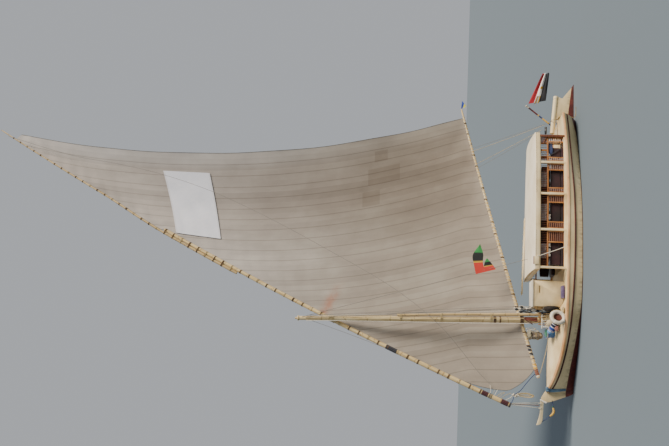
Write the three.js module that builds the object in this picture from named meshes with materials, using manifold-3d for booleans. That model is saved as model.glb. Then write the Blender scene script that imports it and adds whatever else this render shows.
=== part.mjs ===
// A Nile sailing felucca with a saloon, as separate named pieces.
// Millimetres. +X is the bow, +Y is port, +Z is up.
// The origin lies on the centreline, near amidships, at the waterline.
import * as THREE from 'three';
import { mergeVertices } from 'three/addons/utils/BufferGeometryUtils.js';
import Module from 'manifold-3d';

const wasm = await Module();
wasm.setup();

// Driving dimensions
const SEAT_GAP = 0.3; // between a piece and what it rests on
const HULL_STEP = 400; // between the hull's sections
const STEM_X = 5800; // forward end of the planking at the waterline
const STERN_X = -5400; // flat face of the transom
const KEEL_BOTTOM = -760;
const KEEL_WIDTH = 120;
const STEM_WIDTH = 112;

const SALOON_SILL_Z = 600; // the line that the saloon's louvres stand on
const SALOON_FOOT_Z = 500; // posts and sill reach down to here, and the deck cuts them off
const MID_RAIL_Z = 1270;
const EAVES_Z = 1600; // top of the saloon's top plate
const ROOF_CROWN = 90; // how much higher the roof is on the centreline
const WELL_FLOOR_Z = 80;
const WELL_HALF_WIDTH = 850;

const MAST_FOOT = [2940, 0, 850]; // the rig's own origin, just under the deck
const MAST_BASE = 96; // underside of the mast above its origin
const MAST_RAKE = THREE.MathUtils.degToRad(2.52);
const MAST_HEIGHT = 10290;
const RIG_SWING = THREE.MathUtils.degToRad(10); // the sail's aft end lies to starboard
const RIG_OFFSET = -232; // the sail hangs on the starboard side of the mast
const YARD_BOW = 480; // how far the yard bends forward between its ends

const RUDDER_AXIS_X = -5560;
const STOCK_RADIUS = 22;
const PINTLE_GAP = 1; // between the stock and its gudgeons

// Hull stations: x, bottom on the centreline, half-breadth at the water, roundness of the
// bilge, half-breadth and height at the rail, height of the deck's crown, rub strake height
const STATIONS = [
  { x: 5800, keel: -480, water: 42, round: 1.2, rail: 58, railZ: 985, crown: 1000, strake: 905 },
  { x: 5500, keel: -505, water: 205, round: 1.3, rail: 470, railZ: 880, crown: 1022, strake: 765 },
  { x: 5000, keel: -520, water: 520, round: 1.4, rail: 880, railZ: 740, crown: 1020, strake: 620 },
  { x: 4100, keel: -540, water: 1110, round: 1.6, rail: 1440, railZ: 590, crown: 975, strake: 475 },
  { x: 3200, keel: -550, water: 1600, round: 1.9, rail: 1850, railZ: 545, crown: 940, strake: 392 },
  { x: 2700, keel: -555, water: 1820, round: 2.1, rail: 1990, railZ: 542, crown: 925, strake: 368 },
  { x: 2300, keel: -560, water: 1960, round: 2.3, rail: 2075, railZ: 545, crown: 600, strake: 352 },
  { x: 1100, keel: -570, water: 2115, round: 2.6, rail: 2185, railZ: 545, crown: 590, strake: 312 },
  { x: -300, keel: -570, water: 2110, round: 2.7, rail: 2190, railZ: 535, crown: 580, strake: 290 },
  { x: -1700, keel: -555, water: 1930, round: 2.5, rail: 2085, railZ: 525, crown: 572, strake: 303 },
  { x: -2900, keel: -520, water: 1560, round: 2.1, rail: 1900, railZ: 535, crown: 580, strake: 352 },
  { x: -4000, keel: -450, water: 1110, round: 1.8, rail: 1690, railZ: 555, crown: 600, strake: 405 },
  { x: -4800, keel: -360, water: 720, round: 1.6, rail: 1500, railZ: 590, crown: 632, strake: 440 },
  { x: -5400, keel: -250, water: 380, round: 1.5, rail: 1330, railZ: 625, crown: 665, strake: 468 },
];

// Saloon posts from the bow aft: place along the boat and half-breadth
const POSTS = [
  { x: 1090, y: 1750 },
  { x: -410, y: 1750 },
  { x: -1860, y: 1740 },
  { x: -3170, y: 1650 },
  { x: -4330, y: 1450 },
];

// Louvred panels of the saloon: bay counted from the bow, start and end as parts of its length
const LOUVRES = [
  { bay: 0, from: 0.66, to: 0.97 },
  { bay: 1, from: 0.03, to: 0.23 },
  { bay: 1, from: 0.75, to: 0.97 },
  { bay: 2, from: 0.04, to: 0.21 },
  { bay: 2, from: 0.75, to: 0.97 },
  { bay: 3, from: 0.05, to: 0.22 },
  { bay: 3, from: 0.78, to: 0.97 },
];

// Materials
const paint = (color, roughness, metalness = 0) =>
  new THREE.MeshStandardMaterial({ color, roughness, metalness });
const CREAM = '#e8d6ab';
const DARK_RED = '#5a1f1c';
const VARNISH = '#8f5430';
const WHITE = '#ece9e0';
const CANVAS = '#b9b1a2';
const MAROON = '#5d2430';
const BAMBOO = '#d8c393';
const ROPE = '#cdb98f';
const NAVY = '#27408c';
const RUBBER = '#2a2624';

// Solids: closed meshes joined, cut and turned back into geometry
function toSolid(geometry) {
  const bare = geometry.index ? geometry.toNonIndexed() : geometry.clone();
  bare.deleteAttribute('normal');
  bare.deleteAttribute('uv');
  const merged = mergeVertices(bare, 1e-3);
  return new wasm.Manifold(new wasm.Mesh({
    numProp: 3,
    vertProperties: new Float32Array(merged.attributes.position.array),
    triVerts: new Uint32Array(merged.index.array),
  }));
}

function toGeometry(solid) {
  const mesh = solid.getMesh();
  const geometry = new THREE.BufferGeometry();
  geometry.setAttribute('position', new THREE.BufferAttribute(mesh.vertProperties, 3));
  geometry.setIndex(new THREE.BufferAttribute(mesh.triVerts, 1));
  geometry.computeVertexNormals();
  return geometry;
}

const join = (...geometries) =>
  toGeometry(geometries.map(toSolid).reduce((sum, solid) => sum.add(solid)));

// A cut can leave crumbs beside the piece, so only its largest body stays
function cut(geometry, ...tools) {
  const rest = tools.map(toSolid).reduce((whole, tool) => whole.subtract(tool), toSolid(geometry));
  const bodies = rest.decompose().sort((a, b) => b.volume() - a.volume());
  return toGeometry(bodies[0]);
}

const moved = (geometry, x, y, z) => geometry.clone().translate(x, y, z);

function mirrored(geometry) {
  const copy = geometry.index ? geometry.toNonIndexed() : geometry.clone();
  copy.scale(1, -1, 1);
  const place = copy.attributes.position.array;
  for (let i = 0; i < place.length; i += 9) {
    for (let k = 0; k < 3; k += 1) {
      [place[i + k], place[i + 6 + k]] = [place[i + 6 + k], place[i + k]];
    }
  }
  copy.deleteAttribute('uv');
  copy.computeVertexNormals();
  return copy;
}

function box(x0, x1, y0, y1, z0, z1) {
  const geometry = new THREE.BoxGeometry(x1 - x0, y1 - y0, z1 - z0);
  return geometry.translate((x0 + x1) / 2, (y0 + y1) / 2, (z0 + z1) / 2);
}

// A closed skin through rings of points, each ring with the same even number of points.
// An end is closed with strips between the points that face each other across its ring.
function loft(rings) {
  const size = rings[0].length;
  const points = rings.flat();
  const faces = [];
  for (let r = 0; r < rings.length - 1; r += 1) {
    for (let i = 0; i < size; i += 1) {
      const a = r * size + i;
      const b = r * size + ((i + 1) % size);
      faces.push(a, b, b + size, a, b + size, a + size);
    }
  }
  const last = (rings.length - 1) * size;
  for (let i = 0; i < size / 2 - 1; i += 1) {
    const [a, b, c, d] = [i, i + 1, size - 2 - i, size - 1 - i];
    faces.push(c, b, a, d, c, a);
    faces.push(last + a, last + b, last + c, last + a, last + c, last + d);
  }
  // The skin faces outwards when the volume that its triangles enclose counts as positive
  const corner = (i) => new THREE.Vector3(...points[i]).sub(new THREE.Vector3(...points[0]));
  let volume = 0;
  for (let i = 0; i < faces.length; i += 3) {
    volume += corner(faces[i]).dot(corner(faces[i + 1]).cross(corner(faces[i + 2])));
  }
  if (volume < 0) faces.reverse();
  const geometry = new THREE.BufferGeometry();
  geometry.setAttribute('position', new THREE.Float32BufferAttribute(points.flat(), 3));
  geometry.setIndex(faces);
  geometry.computeVertexNormals();
  return geometry;
}

// A round pole through points, with a radius at each point
function pole(points, radii, sides = 10) {
  const places = points.map((p) => new THREE.Vector3(...p));
  const rings = places.map((place, i) => {
    const before = places[Math.max(i - 1, 0)];
    const after = places[Math.min(i + 1, places.length - 1)];
    const along = after.clone().sub(before).normalize();
    const guide = Math.abs(along.y) > 0.9 ? new THREE.Vector3(0, 0, 1) : new THREE.Vector3(0, 1, 0);
    const across = guide.sub(along.clone().multiplyScalar(guide.dot(along))).normalize();
    const third = along.clone().cross(across);
    const ring = [];
    for (let k = 0; k < sides; k += 1) {
      const angle = (2 * Math.PI * k) / sides;
      const point = place.clone()
        .addScaledVector(across, radii[i] * Math.cos(angle))
        .addScaledVector(third, radii[i] * Math.sin(angle));
      ring.push(point.toArray());
    }
    return ring;
  });
  return loft(rings);
}

const rod = (from, to, radius, sides = 10) => pole([from, to], [radius, radius], sides);

// A flat board standing along the boat: outline in x and z, thickness across
function board(outline, thickness, y = 0) {
  const shape = new THREE.Shape(outline.map(([x, z]) => new THREE.Vector2(x, z)));
  const geometry = new THREE.ExtrudeGeometry(shape, { depth: thickness, bevelEnabled: false });
  return geometry.rotateX(Math.PI / 2).translate(0, y + thickness / 2, 0);
}

// A flat panel lying level: outline in x and y, thickness upwards from z
function slab(outline, z, thickness) {
  const shape = new THREE.Shape(outline.map(([x, y]) => new THREE.Vector2(x, y)));
  const geometry = new THREE.ExtrudeGeometry(shape, { depth: thickness, bevelEnabled: false });
  return geometry.translate(0, 0, z);
}

// A ring about the vertical or, turned, another axis: mean radius, half-width and half-height
function ring(inner, outer, height, sides = 16) {
  const half = height / 2;
  const profile = [[inner, -half], [outer, -half], [outer, half], [inner, half], [inner, -half]];
  const geometry = new THREE.LatheGeometry(profile.map(([x, y]) => new THREE.Vector2(x, y)), sides);
  return geometry.rotateX(Math.PI / 2);
}

function tyre(meanRadius, halfWidth, around, across) {
  return new THREE.TorusGeometry(meanRadius, halfWidth, across, around);
}

const group = new THREE.Group();

function add(name, geometry, color, roughness = 0.6, metalness = 0, parent = group) {
  const mesh = new THREE.Mesh(geometry, paint(color, roughness, metalness));
  mesh.name = name;
  parent.add(mesh);
  return mesh;
}

// Values between table rows, with no overshoot
function between(rows, column, x) {
  const i = Math.min(Math.max(rows.findIndex((row) => row.x <= x), 1), rows.length - 1);
  const slope = (k) => (rows[k][column] - rows[k - 1][column]) / (rows[k].x - rows[k - 1].x);
  const bend = (k) => {
    if (k < 1 || k > rows.length - 2) return slope(Math.min(Math.max(k, 1), rows.length - 1));
    const [left, right] = [slope(k), slope(k + 1)];
    return left * right <= 0 ? 0 : (2 * left * right) / (left + right);
  };
  const [start, end] = [rows[i - 1], rows[i]];
  const width = end.x - start.x;
  const t = (x - start.x) / width;
  const rise = end[column] - start[column];
  const [p, q] = [bend(i - 1) * width, bend(i) * width];
  return start[column] + t * (p + t * (3 * rise - 2 * p - q + t * (p + q - 2 * rise)));
}

const hullAt = (x) => {
  const keys = ['keel', 'water', 'round', 'rail', 'railZ', 'crown', 'strake'];
  return Object.fromEntries(keys.map((key) => [key, between(STATIONS, key, x)]));
};

// The fore end of the planks leans aft towards the water and curves away below it
const WATER_LEAN = 100;
function bowLean(x, z) {
  const near = THREE.MathUtils.smoothstep(x, 4200, STEM_X);
  const over = -WATER_LEAN * (1 - Math.min(z, 1000) / 1000) ** 3;
  return near * (z > 0 ? over : 0.3 * z - 0.0011 * z * z - WATER_LEAN);
}

function hullRing(x) {
  const at = hullAt(x);
  const half = [];
  for (let i = 0; i <= 6; i += 1) {
    const angle = (Math.PI / 2) * (i / 6);
    half.push([at.water * Math.sin(angle) ** (2 / at.round), at.keel * Math.cos(angle) ** (2 / at.round)]);
  }
  half.push([at.water + 0.6 * (at.rail - at.water), at.railZ / 2], [at.rail, at.railZ]);
  for (let i = 1; i <= 4; i += 1) {
    const y = at.rail * (1 - i / 4);
    half.push([y, at.crown - (at.crown - at.railZ) * (y / at.rail) ** 2]);
  }
  const starboard = half.slice(1, -1).reverse().map(([y, z]) => [-y, z]);
  return half.concat(starboard).map(([y, z]) => [x + bowLean(x, z), y, z]);
}

function stationsBetween(from, to) {
  const count = Math.ceil(Math.abs(to - from) / HULL_STEP);
  return Array.from({ length: count + 1 }, (_, i) => from + ((to - from) * i) / count);
}

// Hull
const hullBody = loft(stationsBetween(STEM_X, STERN_X).map(hullRing));
const well = box(-3700, 1000, -WELL_HALF_WIDTH, WELL_HALF_WIDTH, WELL_FLOOR_Z, 900);
const hull = cut(hullBody, well);
add('hull_planking', hull, CREAM, 0.5);

const below = moved(hullBody, 0, 0, -SEAT_GAP);
const above = moved(hullBody, 0, 0, SEAT_GAP);
const toPort = moved(hullBody, 0, SEAT_GAP, 0);
const toStarboard = moved(hullBody, 0, -SEAT_GAP, 0);
const ahead = moved(hullBody, SEAT_GAP, 0, 0);

const keelOutline = [
  [STERN_X, KEEL_BOTTOM], [4300, KEEL_BOTTOM], [4780, -690], [4780, -470], [-2600, -470], [STERN_X, -180],
];
add('keel', cut(board(keelOutline, KEEL_WIDTH), below, toPort, toStarboard), DARK_RED, 0.7);

const stemOutline = [
  [4780 + SEAT_GAP, -690], [5250, -600], [5540, -430], [5705, -200], [5803, 0], [5895, 150], [5945, 290],
  [6030, 510], [6093, 672], [6161, 864], [6199, 1029], [6215, 1150], [6170, 1250], [6018, 1225], [5850, 1130],
  [5725, 1046], [5700, 700], [5640, 100], [5480, -230], [5150, -440], [4780 + SEAT_GAP, -470],
];
const stem = cut(board(stemOutline, STEM_WIDTH), ahead, toPort, toStarboard, below, above);
add('stem_post', stem, CREAM, 0.5);

const beakTop = [[7092, 1412], [7000, 1378], [6790, 1312], [6600, 1275], [6400, 1262], [6140, 1262]];
const beakBottom = [[5990, 1090], [6240, 1150], [6600, 1165], [6900, 1190], [7040, 1250], [7085, 1350]];
add('bow_beak', cut(board([...beakTop, ...beakBottom], 90), moved(stem, SEAT_GAP, 0, SEAT_GAP),
  moved(stem, SEAT_GAP, 0, -SEAT_GAP)), CREAM, 0.5);

// Stern post, with the two gudgeons that carry the rudder
const postFace = STERN_X - SEAT_GAP;
const GUDGEON_HEIGHTS = [500, -480];
const gudgeons = GUDGEON_HEIGHTS.map((z) => {
  const arm = box(RUDDER_AXIS_X, postFace - 90, -32, 32, z - 30, z + 30);
  const eye = ring(STOCK_RADIUS + PINTLE_GAP, STOCK_RADIUS + 20, 60, 16).translate(RUDDER_AXIS_X, 0, z);
  return join(arm, eye);
});
const pinBore = rod([RUDDER_AXIS_X, 0, -700], [RUDDER_AXIS_X, 0, 700], STOCK_RADIUS + PINTLE_GAP, 16);
const sternPost = box(postFace - 100, postFace, -70, 70, KEEL_BOTTOM, 700);
add('stern_post', cut(join(sternPost, ...gudgeons), pinBore), CREAM, 0.5);

// Half-breadth of the topsides at a height
function sideY(at, z) {
  const knee = at.water + 0.6 * (at.rail - at.water);
  const half = at.railZ / 2;
  return z < half ? at.water + ((knee - at.water) * z) / half : knee + ((at.rail - knee) * (z - half)) / half;
}

// Height of the deck just inboard of the rail
function deckZ(at, inboard) {
  const next = 0.25 * at.rail;
  const rise = (at.crown - at.railZ) * (1 - 0.75 ** 2);
  return at.railZ + (rise * Math.min(inboard, next)) / next;
}

// A strip along the port side, its section given as points in y and z at each station
const STRIP_START = STEM_X - 8;
function strip(section) {
  return loft(stationsBetween(STRIP_START, STERN_X).map((x) => {
    const at = hullAt(x);
    return section(at).map(([y, z]) => [x + bowLean(x, z), y, z]);
  }));
}

const STRAKE_HEIGHT = 52;
const STRAKE_OUT = 32;
const strakeBody = strip((at) => {
  const [low, high] = [at.strake - STRAKE_HEIGHT / 2, at.strake + STRAKE_HEIGHT / 2];
  const skin = 4;
  return [
    [sideY(at, low) - skin, low], [sideY(at, high) - skin, high],
    [sideY(at, high) + STRAKE_OUT, high], [sideY(at, low) + STRAKE_OUT, low],
  ];
});
const RAIL_INBOARD = 80;
const capRailBody = strip((at) => {
  const inboard = Math.min(RAIL_INBOARD, at.rail - 2);
  const skin = 4;
  return [
    [at.rail - inboard, deckZ(at, inboard) - skin], [at.rail - inboard, deckZ(at, inboard) + 42],
    [at.rail + 24, at.railZ + 42], [at.rail + 24, at.railZ - 34], [at.rail - skin, at.railZ - 34],
    [at.rail - skin, at.railZ - skin],
  ];
});
const SIDES = [
  { side: 'port', place: (geometry) => geometry, out: 1, beside: toPort },
  { side: 'starboard', place: mirrored, out: -1, beside: toStarboard },
];
for (const { side, place, out, beside } of SIDES) {
  const stemCuts = [
    moved(stem, 0, out * SEAT_GAP, 0), moved(stem, 0, 0, SEAT_GAP), moved(stem, 0, 0, -SEAT_GAP),
    moved(stem, -SEAT_GAP, 0, 0),
  ];
  add(`rub_strake_${side}`, cut(place(strakeBody), beside, ...stemCuts), DARK_RED, 0.6);
  add(`cap_rail_${side}`, cut(place(capRailBody), above, beside, ...stemCuts), CREAM, 0.5);
}

// Saloon: frames, louvres, seats
const bays = POSTS.slice(1).map((aft, i) => {
  const fore = POSTS[i];
  const length = Math.hypot(fore.x - aft.x, fore.y - aft.y);
  return { aft, fore, length, turn: Math.atan2(fore.y - aft.y, fore.x - aft.x) };
});

// A box in a bay's own frame: along it from its aft post, outwards from the posts' line, up
function bayBox(bay, u0, u1, v0, v1, z0, z1) {
  return box(u0, u1, v0, v1, z0, z1).rotateZ(bay.turn).translate(bay.aft.x, bay.aft.y, 0);
}

const FRAME_OUT = 35;
const FRAME_IN = -35;
const frameParts = bays.flatMap((bay) => [
  bayBox(bay, 0, bay.length, FRAME_IN, FRAME_OUT, SALOON_FOOT_Z, SALOON_SILL_Z + 50),
  bayBox(bay, 0, bay.length, FRAME_IN, FRAME_OUT, EAVES_Z - 50, EAVES_Z),
]);
POSTS.forEach(({ x, y }) => {
  frameParts.push(box(x - 42, x + 42, y - 26, y + 42, SALOON_FOOT_Z, EAVES_Z));
});
const frame = join(...frameParts);

const LOUVRE_OUT = FRAME_IN - SEAT_GAP;
const LOUVRE_IN = LOUVRE_OUT - 40;
const SLATS = 7;
const FRIEZE_PITCH = 300;
const louvreParts = [];
bays.forEach((bay, index) => {
  const start = index === bays.length - 1 ? 25 : 0; // the last bay stops short of the aft screen
  const rail = (z0, z1) => bayBox(bay, start, bay.length, LOUVRE_IN, LOUVRE_OUT, z0, z1);
  louvreParts.push(rail(SALOON_SILL_Z, SALOON_SILL_Z + 60), rail(MID_RAIL_Z - 30, MID_RAIL_Z + 25));
  louvreParts.push(rail(EAVES_Z - 60, EAVES_Z));
  for (let u = FRIEZE_PITCH / 2; u < bay.length; u += FRIEZE_PITCH) {
    louvreParts.push(bayBox(bay, u - 12, u + 12, LOUVRE_IN + 8, LOUVRE_OUT - 8, MID_RAIL_Z, EAVES_Z - 30));
  }
  LOUVRES.filter((row) => row.bay === index).forEach((row) => {
    const [u0, u1] = [bay.length * (1 - row.to), bay.length * (1 - row.from)];
    for (const u of [u0, u1 - 40]) {
      louvreParts.push(bayBox(bay, u, u + 40, LOUVRE_IN + 4, LOUVRE_OUT - 4, SALOON_SILL_Z + 30, MID_RAIL_Z));
    }
    const pitch = (MID_RAIL_Z - 30 - SALOON_SILL_Z - 60) / SLATS;
    for (let k = 0; k < SLATS; k += 1) {
      const z = SALOON_SILL_Z + 60 + (k + 0.5) * pitch;
      louvreParts.push(bayBox(bay, u0 + 20, u1 - 20, LOUVRE_IN + 10, LOUVRE_OUT - 10, z - 18, z + 18));
    }
  });
});
const louvres = join(...louvreParts);

// Seats along both sides: on the deck beside the well, with backs against the louvres
const SEAT_Z = 615;
const SEAT_THICKNESS = 130;
const SEAT_EDGE = [[960, 1610], [-1800, 1610], [-3120, 1520], [-3850, 1410]];
const seatOutline = [[-3850, 900], [960, 900], ...SEAT_EDGE];
const backOutline = SEAT_EDGE.concat(SEAT_EDGE.slice().reverse().map(([x, y]) => [x, y - 130]));
const seatBody = slab(seatOutline, SEAT_Z - 60, SEAT_THICKNESS + 60);
const seatBack = slab(backOutline.reverse(), SEAT_Z + SEAT_THICKNESS + SEAT_GAP, 400);

for (const { side, place } of SIDES) {
  add(`saloon_frame_${side}`, cut(place(frame), above), CREAM, 0.5);
  add(`louvres_${side}`, place(louvres), VARNISH, 0.45);
  add(`seat_cushion_${side}`, cut(place(seatBody), above), MAROON, 0.9);
  add(`back_cushion_${side}`, place(seatBack), MAROON, 0.9);
}

add('saloon_sole', box(-3690, 990, -840, 840, WELL_FLOOR_Z + SEAT_GAP, WELL_FLOOR_Z + 22), VARNISH, 0.6);

const SOLE_TOP = WELL_FLOOR_Z + 22;
const tableLegs = [[-1350, -180], [-1350, 180], [-250, -180], [-250, 180]];
add('saloon_table', join(
  box(-1450, -150, -260, 260, 640, 670),
  ...tableLegs.map(([x, y]) => box(x - 25, x + 25, y - 25, y + 25, SOLE_TOP + SEAT_GAP, 650)),
), VARNISH, 0.45);

// Aft end of the saloon: two posts, a top rail and a louvred leaf on each side of the way out
const AFT_X = POSTS[4].x;
const SCREEN_HALF = POSTS[4].y + FRAME_IN - SEAT_GAP;
const aftParts = [box(AFT_X - 30, AFT_X + 30, -SCREEN_HALF, SCREEN_HALF, EAVES_Z - 60, EAVES_Z)];
for (const side of [-1, 1]) {
  const across = (y0, y1, z0, z1, half = 30) =>
    box(AFT_X - half, AFT_X + half, Math.min(side * y0, side * y1), Math.max(side * y0, side * y1), z0, z1);
  aftParts.push(
    across(420, SCREEN_HALF, 640, 700), across(420, SCREEN_HALF, MID_RAIL_Z - 30, MID_RAIL_Z + 30),
    across(420, 480, SALOON_FOOT_Z, EAVES_Z),
    across(SCREEN_HALF - 60, SCREEN_HALF, SALOON_FOOT_Z, EAVES_Z),
  );
  for (let k = 0; k < SLATS; k += 1) {
    const z = 740 + k * 64;
    aftParts.push(across(450, SCREEN_HALF - 30, z - 18, z + 18, 12));
  }
}
add('aft_screen', cut(join(...aftParts), above), VARNISH, 0.45);

// Roof: cambered deck on the frames, boards round its edge, stretched canvas on top
const ROOF_FORE = 1180;
const ROOF_AFT = -4460;
const ROOF_OVERHANG = 62;
const roofHalf = (x) => between(POSTS, 'y', Math.min(Math.max(x, AFT_X), POSTS[0].x)) + ROOF_OVERHANG;

function roofLayer(bottom, thickness, inset) {
  const ends = [ROOF_FORE - inset, ROOF_AFT + inset];
  const xs = [ends[0], POSTS[1].x, POSTS[2].x, -2500, POSTS[3].x, -3750, ends[1]];
  return loft(xs.map((x) => {
    const half = roofHalf(x) - inset;
    const points = [];
    const steps = 8;
    for (let i = 0; i <= steps; i += 1) {
      const y = half * (1 - (2 * i) / steps);
      points.push([x, y, bottom + thickness + ROOF_CROWN * (1 - (y / half) ** 2)]);
    }
    const under = points.slice().reverse().map(([px, py, pz]) => [px, py, pz - thickness]);
    return points.concat(under);
  }));
}

const ROOF_BASE = EAVES_Z + SEAT_GAP;
const ROOF_DEPTH = 150;
const roofDeck = roofLayer(ROOF_BASE, ROOF_DEPTH, 30);
const roofCanvas = roofLayer(ROOF_BASE + ROOF_DEPTH + SEAT_GAP, 12, 0);
const overCanvas = moved(roofCanvas, 0, 0, SEAT_GAP);
add('roof_deck', roofDeck, CREAM, 0.6);
add('roof_canvas', roofCanvas, WHITE, 0.85);

const FASCIA_LOW = 1575;
const FASCIA_HIGH = ROOF_BASE + 148;
const FASCIA_OUT = 62; // from the posts' line to the boards' outer faces
const FASCIA_THICKNESS = 18;
const AFT_NARROWING = 22;
function fasciaSide() {
  const places = POSTS.map(({ x, y }) => [x, y + FASCIA_OUT]);
  places[0][0] = ROOF_FORE;
  places[4][0] = ROOF_AFT;
  places[4][1] -= AFT_NARROWING;
  const inner = places.slice().reverse().map(([x, y]) => [x, y - FASCIA_THICKNESS]);
  return slab(places.concat(inner).reverse(), FASCIA_LOW, FASCIA_HIGH - FASCIA_LOW);
}
const fasciaPort = fasciaSide();
const endBoard = (x0, x1, half) => box(x0, x1, -half, half, FASCIA_LOW, FASCIA_HIGH);
const fascia = join(
  fasciaPort, mirrored(fasciaPort), endBoard(ROOF_FORE - 28, ROOF_FORE, 1800), endBoard(ROOF_AFT, ROOF_AFT + 28, 1475),
);
const roofCuts = [[1, 0], [-1, 0], [0, 1], [0, -1]].map(([x, y]) => moved(roofDeck, x * SEAT_GAP, y * SEAT_GAP, 0));
const frameCuts = [moved(frame, 0, SEAT_GAP, 0), mirrored(moved(frame, 0, SEAT_GAP, 0)), moved(roofDeck, 0, 0, -SEAT_GAP)];
add('roof_fascia', cut(fascia, ...roofCuts, ...frameCuts), CREAM, 0.5);

// Deckhouse on the port side: four walls with a doorway aft, and its roof
const HOUSE = { fore: 2560, aft: 1560, inboard: 490, port: 1300, top: 1740, wall: 40 };
const houseBase = 560;
const houseWalls = cut(
  box(HOUSE.aft, HOUSE.fore, HOUSE.inboard, HOUSE.port, houseBase - 60, HOUSE.top),
  box(HOUSE.aft + HOUSE.wall, HOUSE.fore - HOUSE.wall, HOUSE.inboard + HOUSE.wall, HOUSE.port - HOUSE.wall,
    0, HOUSE.top + 10),
  box(HOUSE.aft - 10, HOUSE.aft + HOUSE.wall + 10, 640, 1160, 0, 1600),
  box(1760, 2040, HOUSE.port - HOUSE.wall - 10, HOUSE.port + 10, 1480, 1520),
  above,
);
add('deckhouse_walls', houseWalls, CREAM, 0.5);
const houseRoof = box(HOUSE.aft - 30, HOUSE.fore + 40, HOUSE.inboard - 40, HOUSE.port + 40,
  HOUSE.top + SEAT_GAP, HOUSE.top + 60);
add('deckhouse_roof', houseRoof, WHITE, 0.6);

// The boarding plank lies along the starboard side of the roof, its fore end standing proud
const plank = board([[-1500, 0], [1800, 0], [1850, 45], [-1500, 45]], 290);
plank.rotateY(-0.028).translate(0, -1250, 1835);
add('boarding_plank', cut(plank, overCanvas), CREAM, 0.6);

const pad = new THREE.CapsuleGeometry(85, 330, 4, 12).rotateZ(Math.PI / 2);
pad.scale(1, 1.5, 1);
add('deck_cushion', cut(pad.translate(1990, 1480, 654), above, moved(houseWalls, 0, SEAT_GAP, 0)), '#5b4a78', 0.9);

// Mast and the gear round its foot
const rigBase = new THREE.Group();
rigBase.position.set(...MAST_FOOT);
rigBase.rotation.y = MAST_RAKE;
group.add(rigBase);

const mastRadius = (z) => 125 - 43 * (z / MAST_HEIGHT);
const mastHeights = [MAST_BASE, 2500, 5000, 7500, MAST_HEIGHT];
const mast = join(
  pole(mastHeights.map((z) => [0, 0, z]), mastHeights.map(mastRadius), 12),
  ring(40, mastRadius(MAST_HEIGHT) + 26, 60, 12).translate(0, 0, MAST_HEIGHT),
  rod([0, 0, MAST_HEIGHT - 50], [0, 0, MAST_HEIGHT + 160], 44, 8),
);
add('mast', mast, BAMBOO, 0.6, 0, rigBase);

// A thinner spar stands behind the mast, held to it by rope bands
const SPAR_FOOT = [-215, 112, MAST_BASE + 10];
const SPAR_TOP = [-160, 84, 6200];
const BAND_HEIGHTS = [480, 2400, 4400, 6050];
const sparAt = (z) => SPAR_FOOT.map((v, k) => v + (SPAR_TOP[k] - v) * ((z - SPAR_FOOT[2]) / (SPAR_TOP[2] - SPAR_FOOT[2])));
const bands = BAND_HEIGHTS.map((z) => {
  const radius = mastRadius(z - 60) + SEAT_GAP;
  const [x, y] = sparAt(z);
  const reach = rod([0, 0, z - 40], [0, 0, z + 40], radius + 16, 16);
  const tie = box(-Math.hypot(x, y), 0, -40, 40, z - 36, z + 36).rotateZ(Math.atan2(-y, -x));
  return cut(join(reach, tie), rod([0, 0, z - 60], [0, 0, z + 60], radius, 12));
});
const spar = join(pole([SPAR_FOOT, SPAR_TOP], [58, 42], 8), ...bands);
add('halyard_spar', spar, BAMBOO, 0.6, 0, rigBase);

// Mast partners: a heavy block on the deck that the mast's foot stands in
rigBase.updateMatrix();
const footCut = rod([0, 0, -200], [0, 0, 600], 125.6, 12).applyMatrix4(rigBase.matrix);
const sparCut = pole([sparAt(-300), sparAt(600)], [61, 58.4], 8).applyMatrix4(rigBase.matrix);
const partners = cut(box(2630, 3200, -260, 300, 800, 1090), above, footCut, sparCut);
add('mast_partners', partners, CREAM, 0.55);

// Pin rail on the port side of the mast, white posts and bars
const RAIL_Y = 1000;
const POST_X = 2665;
const pinRail = join(
  rod([3330, RAIL_Y, 700], [3330, RAIL_Y, 1400], 30, 8),
  rod([POST_X, RAIL_Y, 700], [POST_X, RAIL_Y, 2450], 38, 8),
  rod([POST_X - 55, RAIL_Y, 1360], [3400, RAIL_Y, 1360], 32, 8),
  rod([POST_X, RAIL_Y - 150, 2200], [POST_X, RAIL_Y + 150, 2200], 24, 8),
  rod([POST_X, RAIL_Y - 160, 1960], [POST_X, RAIL_Y + 160, 1960], 24, 8),
);
add('pin_rail', cut(pinRail, above), WHITE, 0.5);

const lifeRing = tyre(235, 70, 24, 10).rotateX(Math.PI / 2 - 0.1).rotateZ(0.42).translate(3015, 1830, 888);
add('life_ring', cut(lifeRing, above, moved(capRailBody, 0, 0, SEAT_GAP)), WHITE, 0.6);

const matRoll = rod([3560, 1120, 1080], [3060, 1400, 820], 130, 16);
add('mat_roll', cut(matRoll, above, moved(lifeRing, 0, -6, 0)), NAVY, 0.9);

const DECK_SLOPE = 0.2; // how the foredeck falls away under the tub
const tubProfile = [[0, 0], [150, 0], [185, 330], [172, 330], [140, 14], [0, 14]];
const tub = new THREE.LatheGeometry(tubProfile.map(([x, y]) => new THREE.Vector2(x, y)), 18);
tub.rotateX(Math.PI / 2 - DECK_SLOPE).translate(3560, 760, 862);
add('deck_tub', cut(tub, above), NAVY, 0.5);

const fender = tyre(205, 88, 22, 8).rotateY(Math.PI / 2).translate(HOUSE.fore + 88 + SEAT_GAP, 1345, 1050);
add('tyre_fender', cut(fender, above), RUBBER, 0.9);

const cloth = pole([[20, 180, 590], [0, 185, 830], [-20, 172, 1080]], [60, 75, 45], 10);
add('mast_cloth', cut(cloth, rod([0, 0, 500], [0, 0, 1200], mastRadius(500) + SEAT_GAP, 12)), '#6d3226', 0.95, 0, rigBase);

// Shroud on the port side, from the mast head to the foot of the tall post
const shroudTop = new THREE.Vector3(-10, mastRadius(10000) + 11, 10000).applyEuler(rigBase.rotation);
shroudTop.add(rigBase.position);
add('port_shroud', rod([POST_X, RAIL_Y, 2452], shroudTop.toArray(), 9, 6), ROPE, 0.9);

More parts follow.
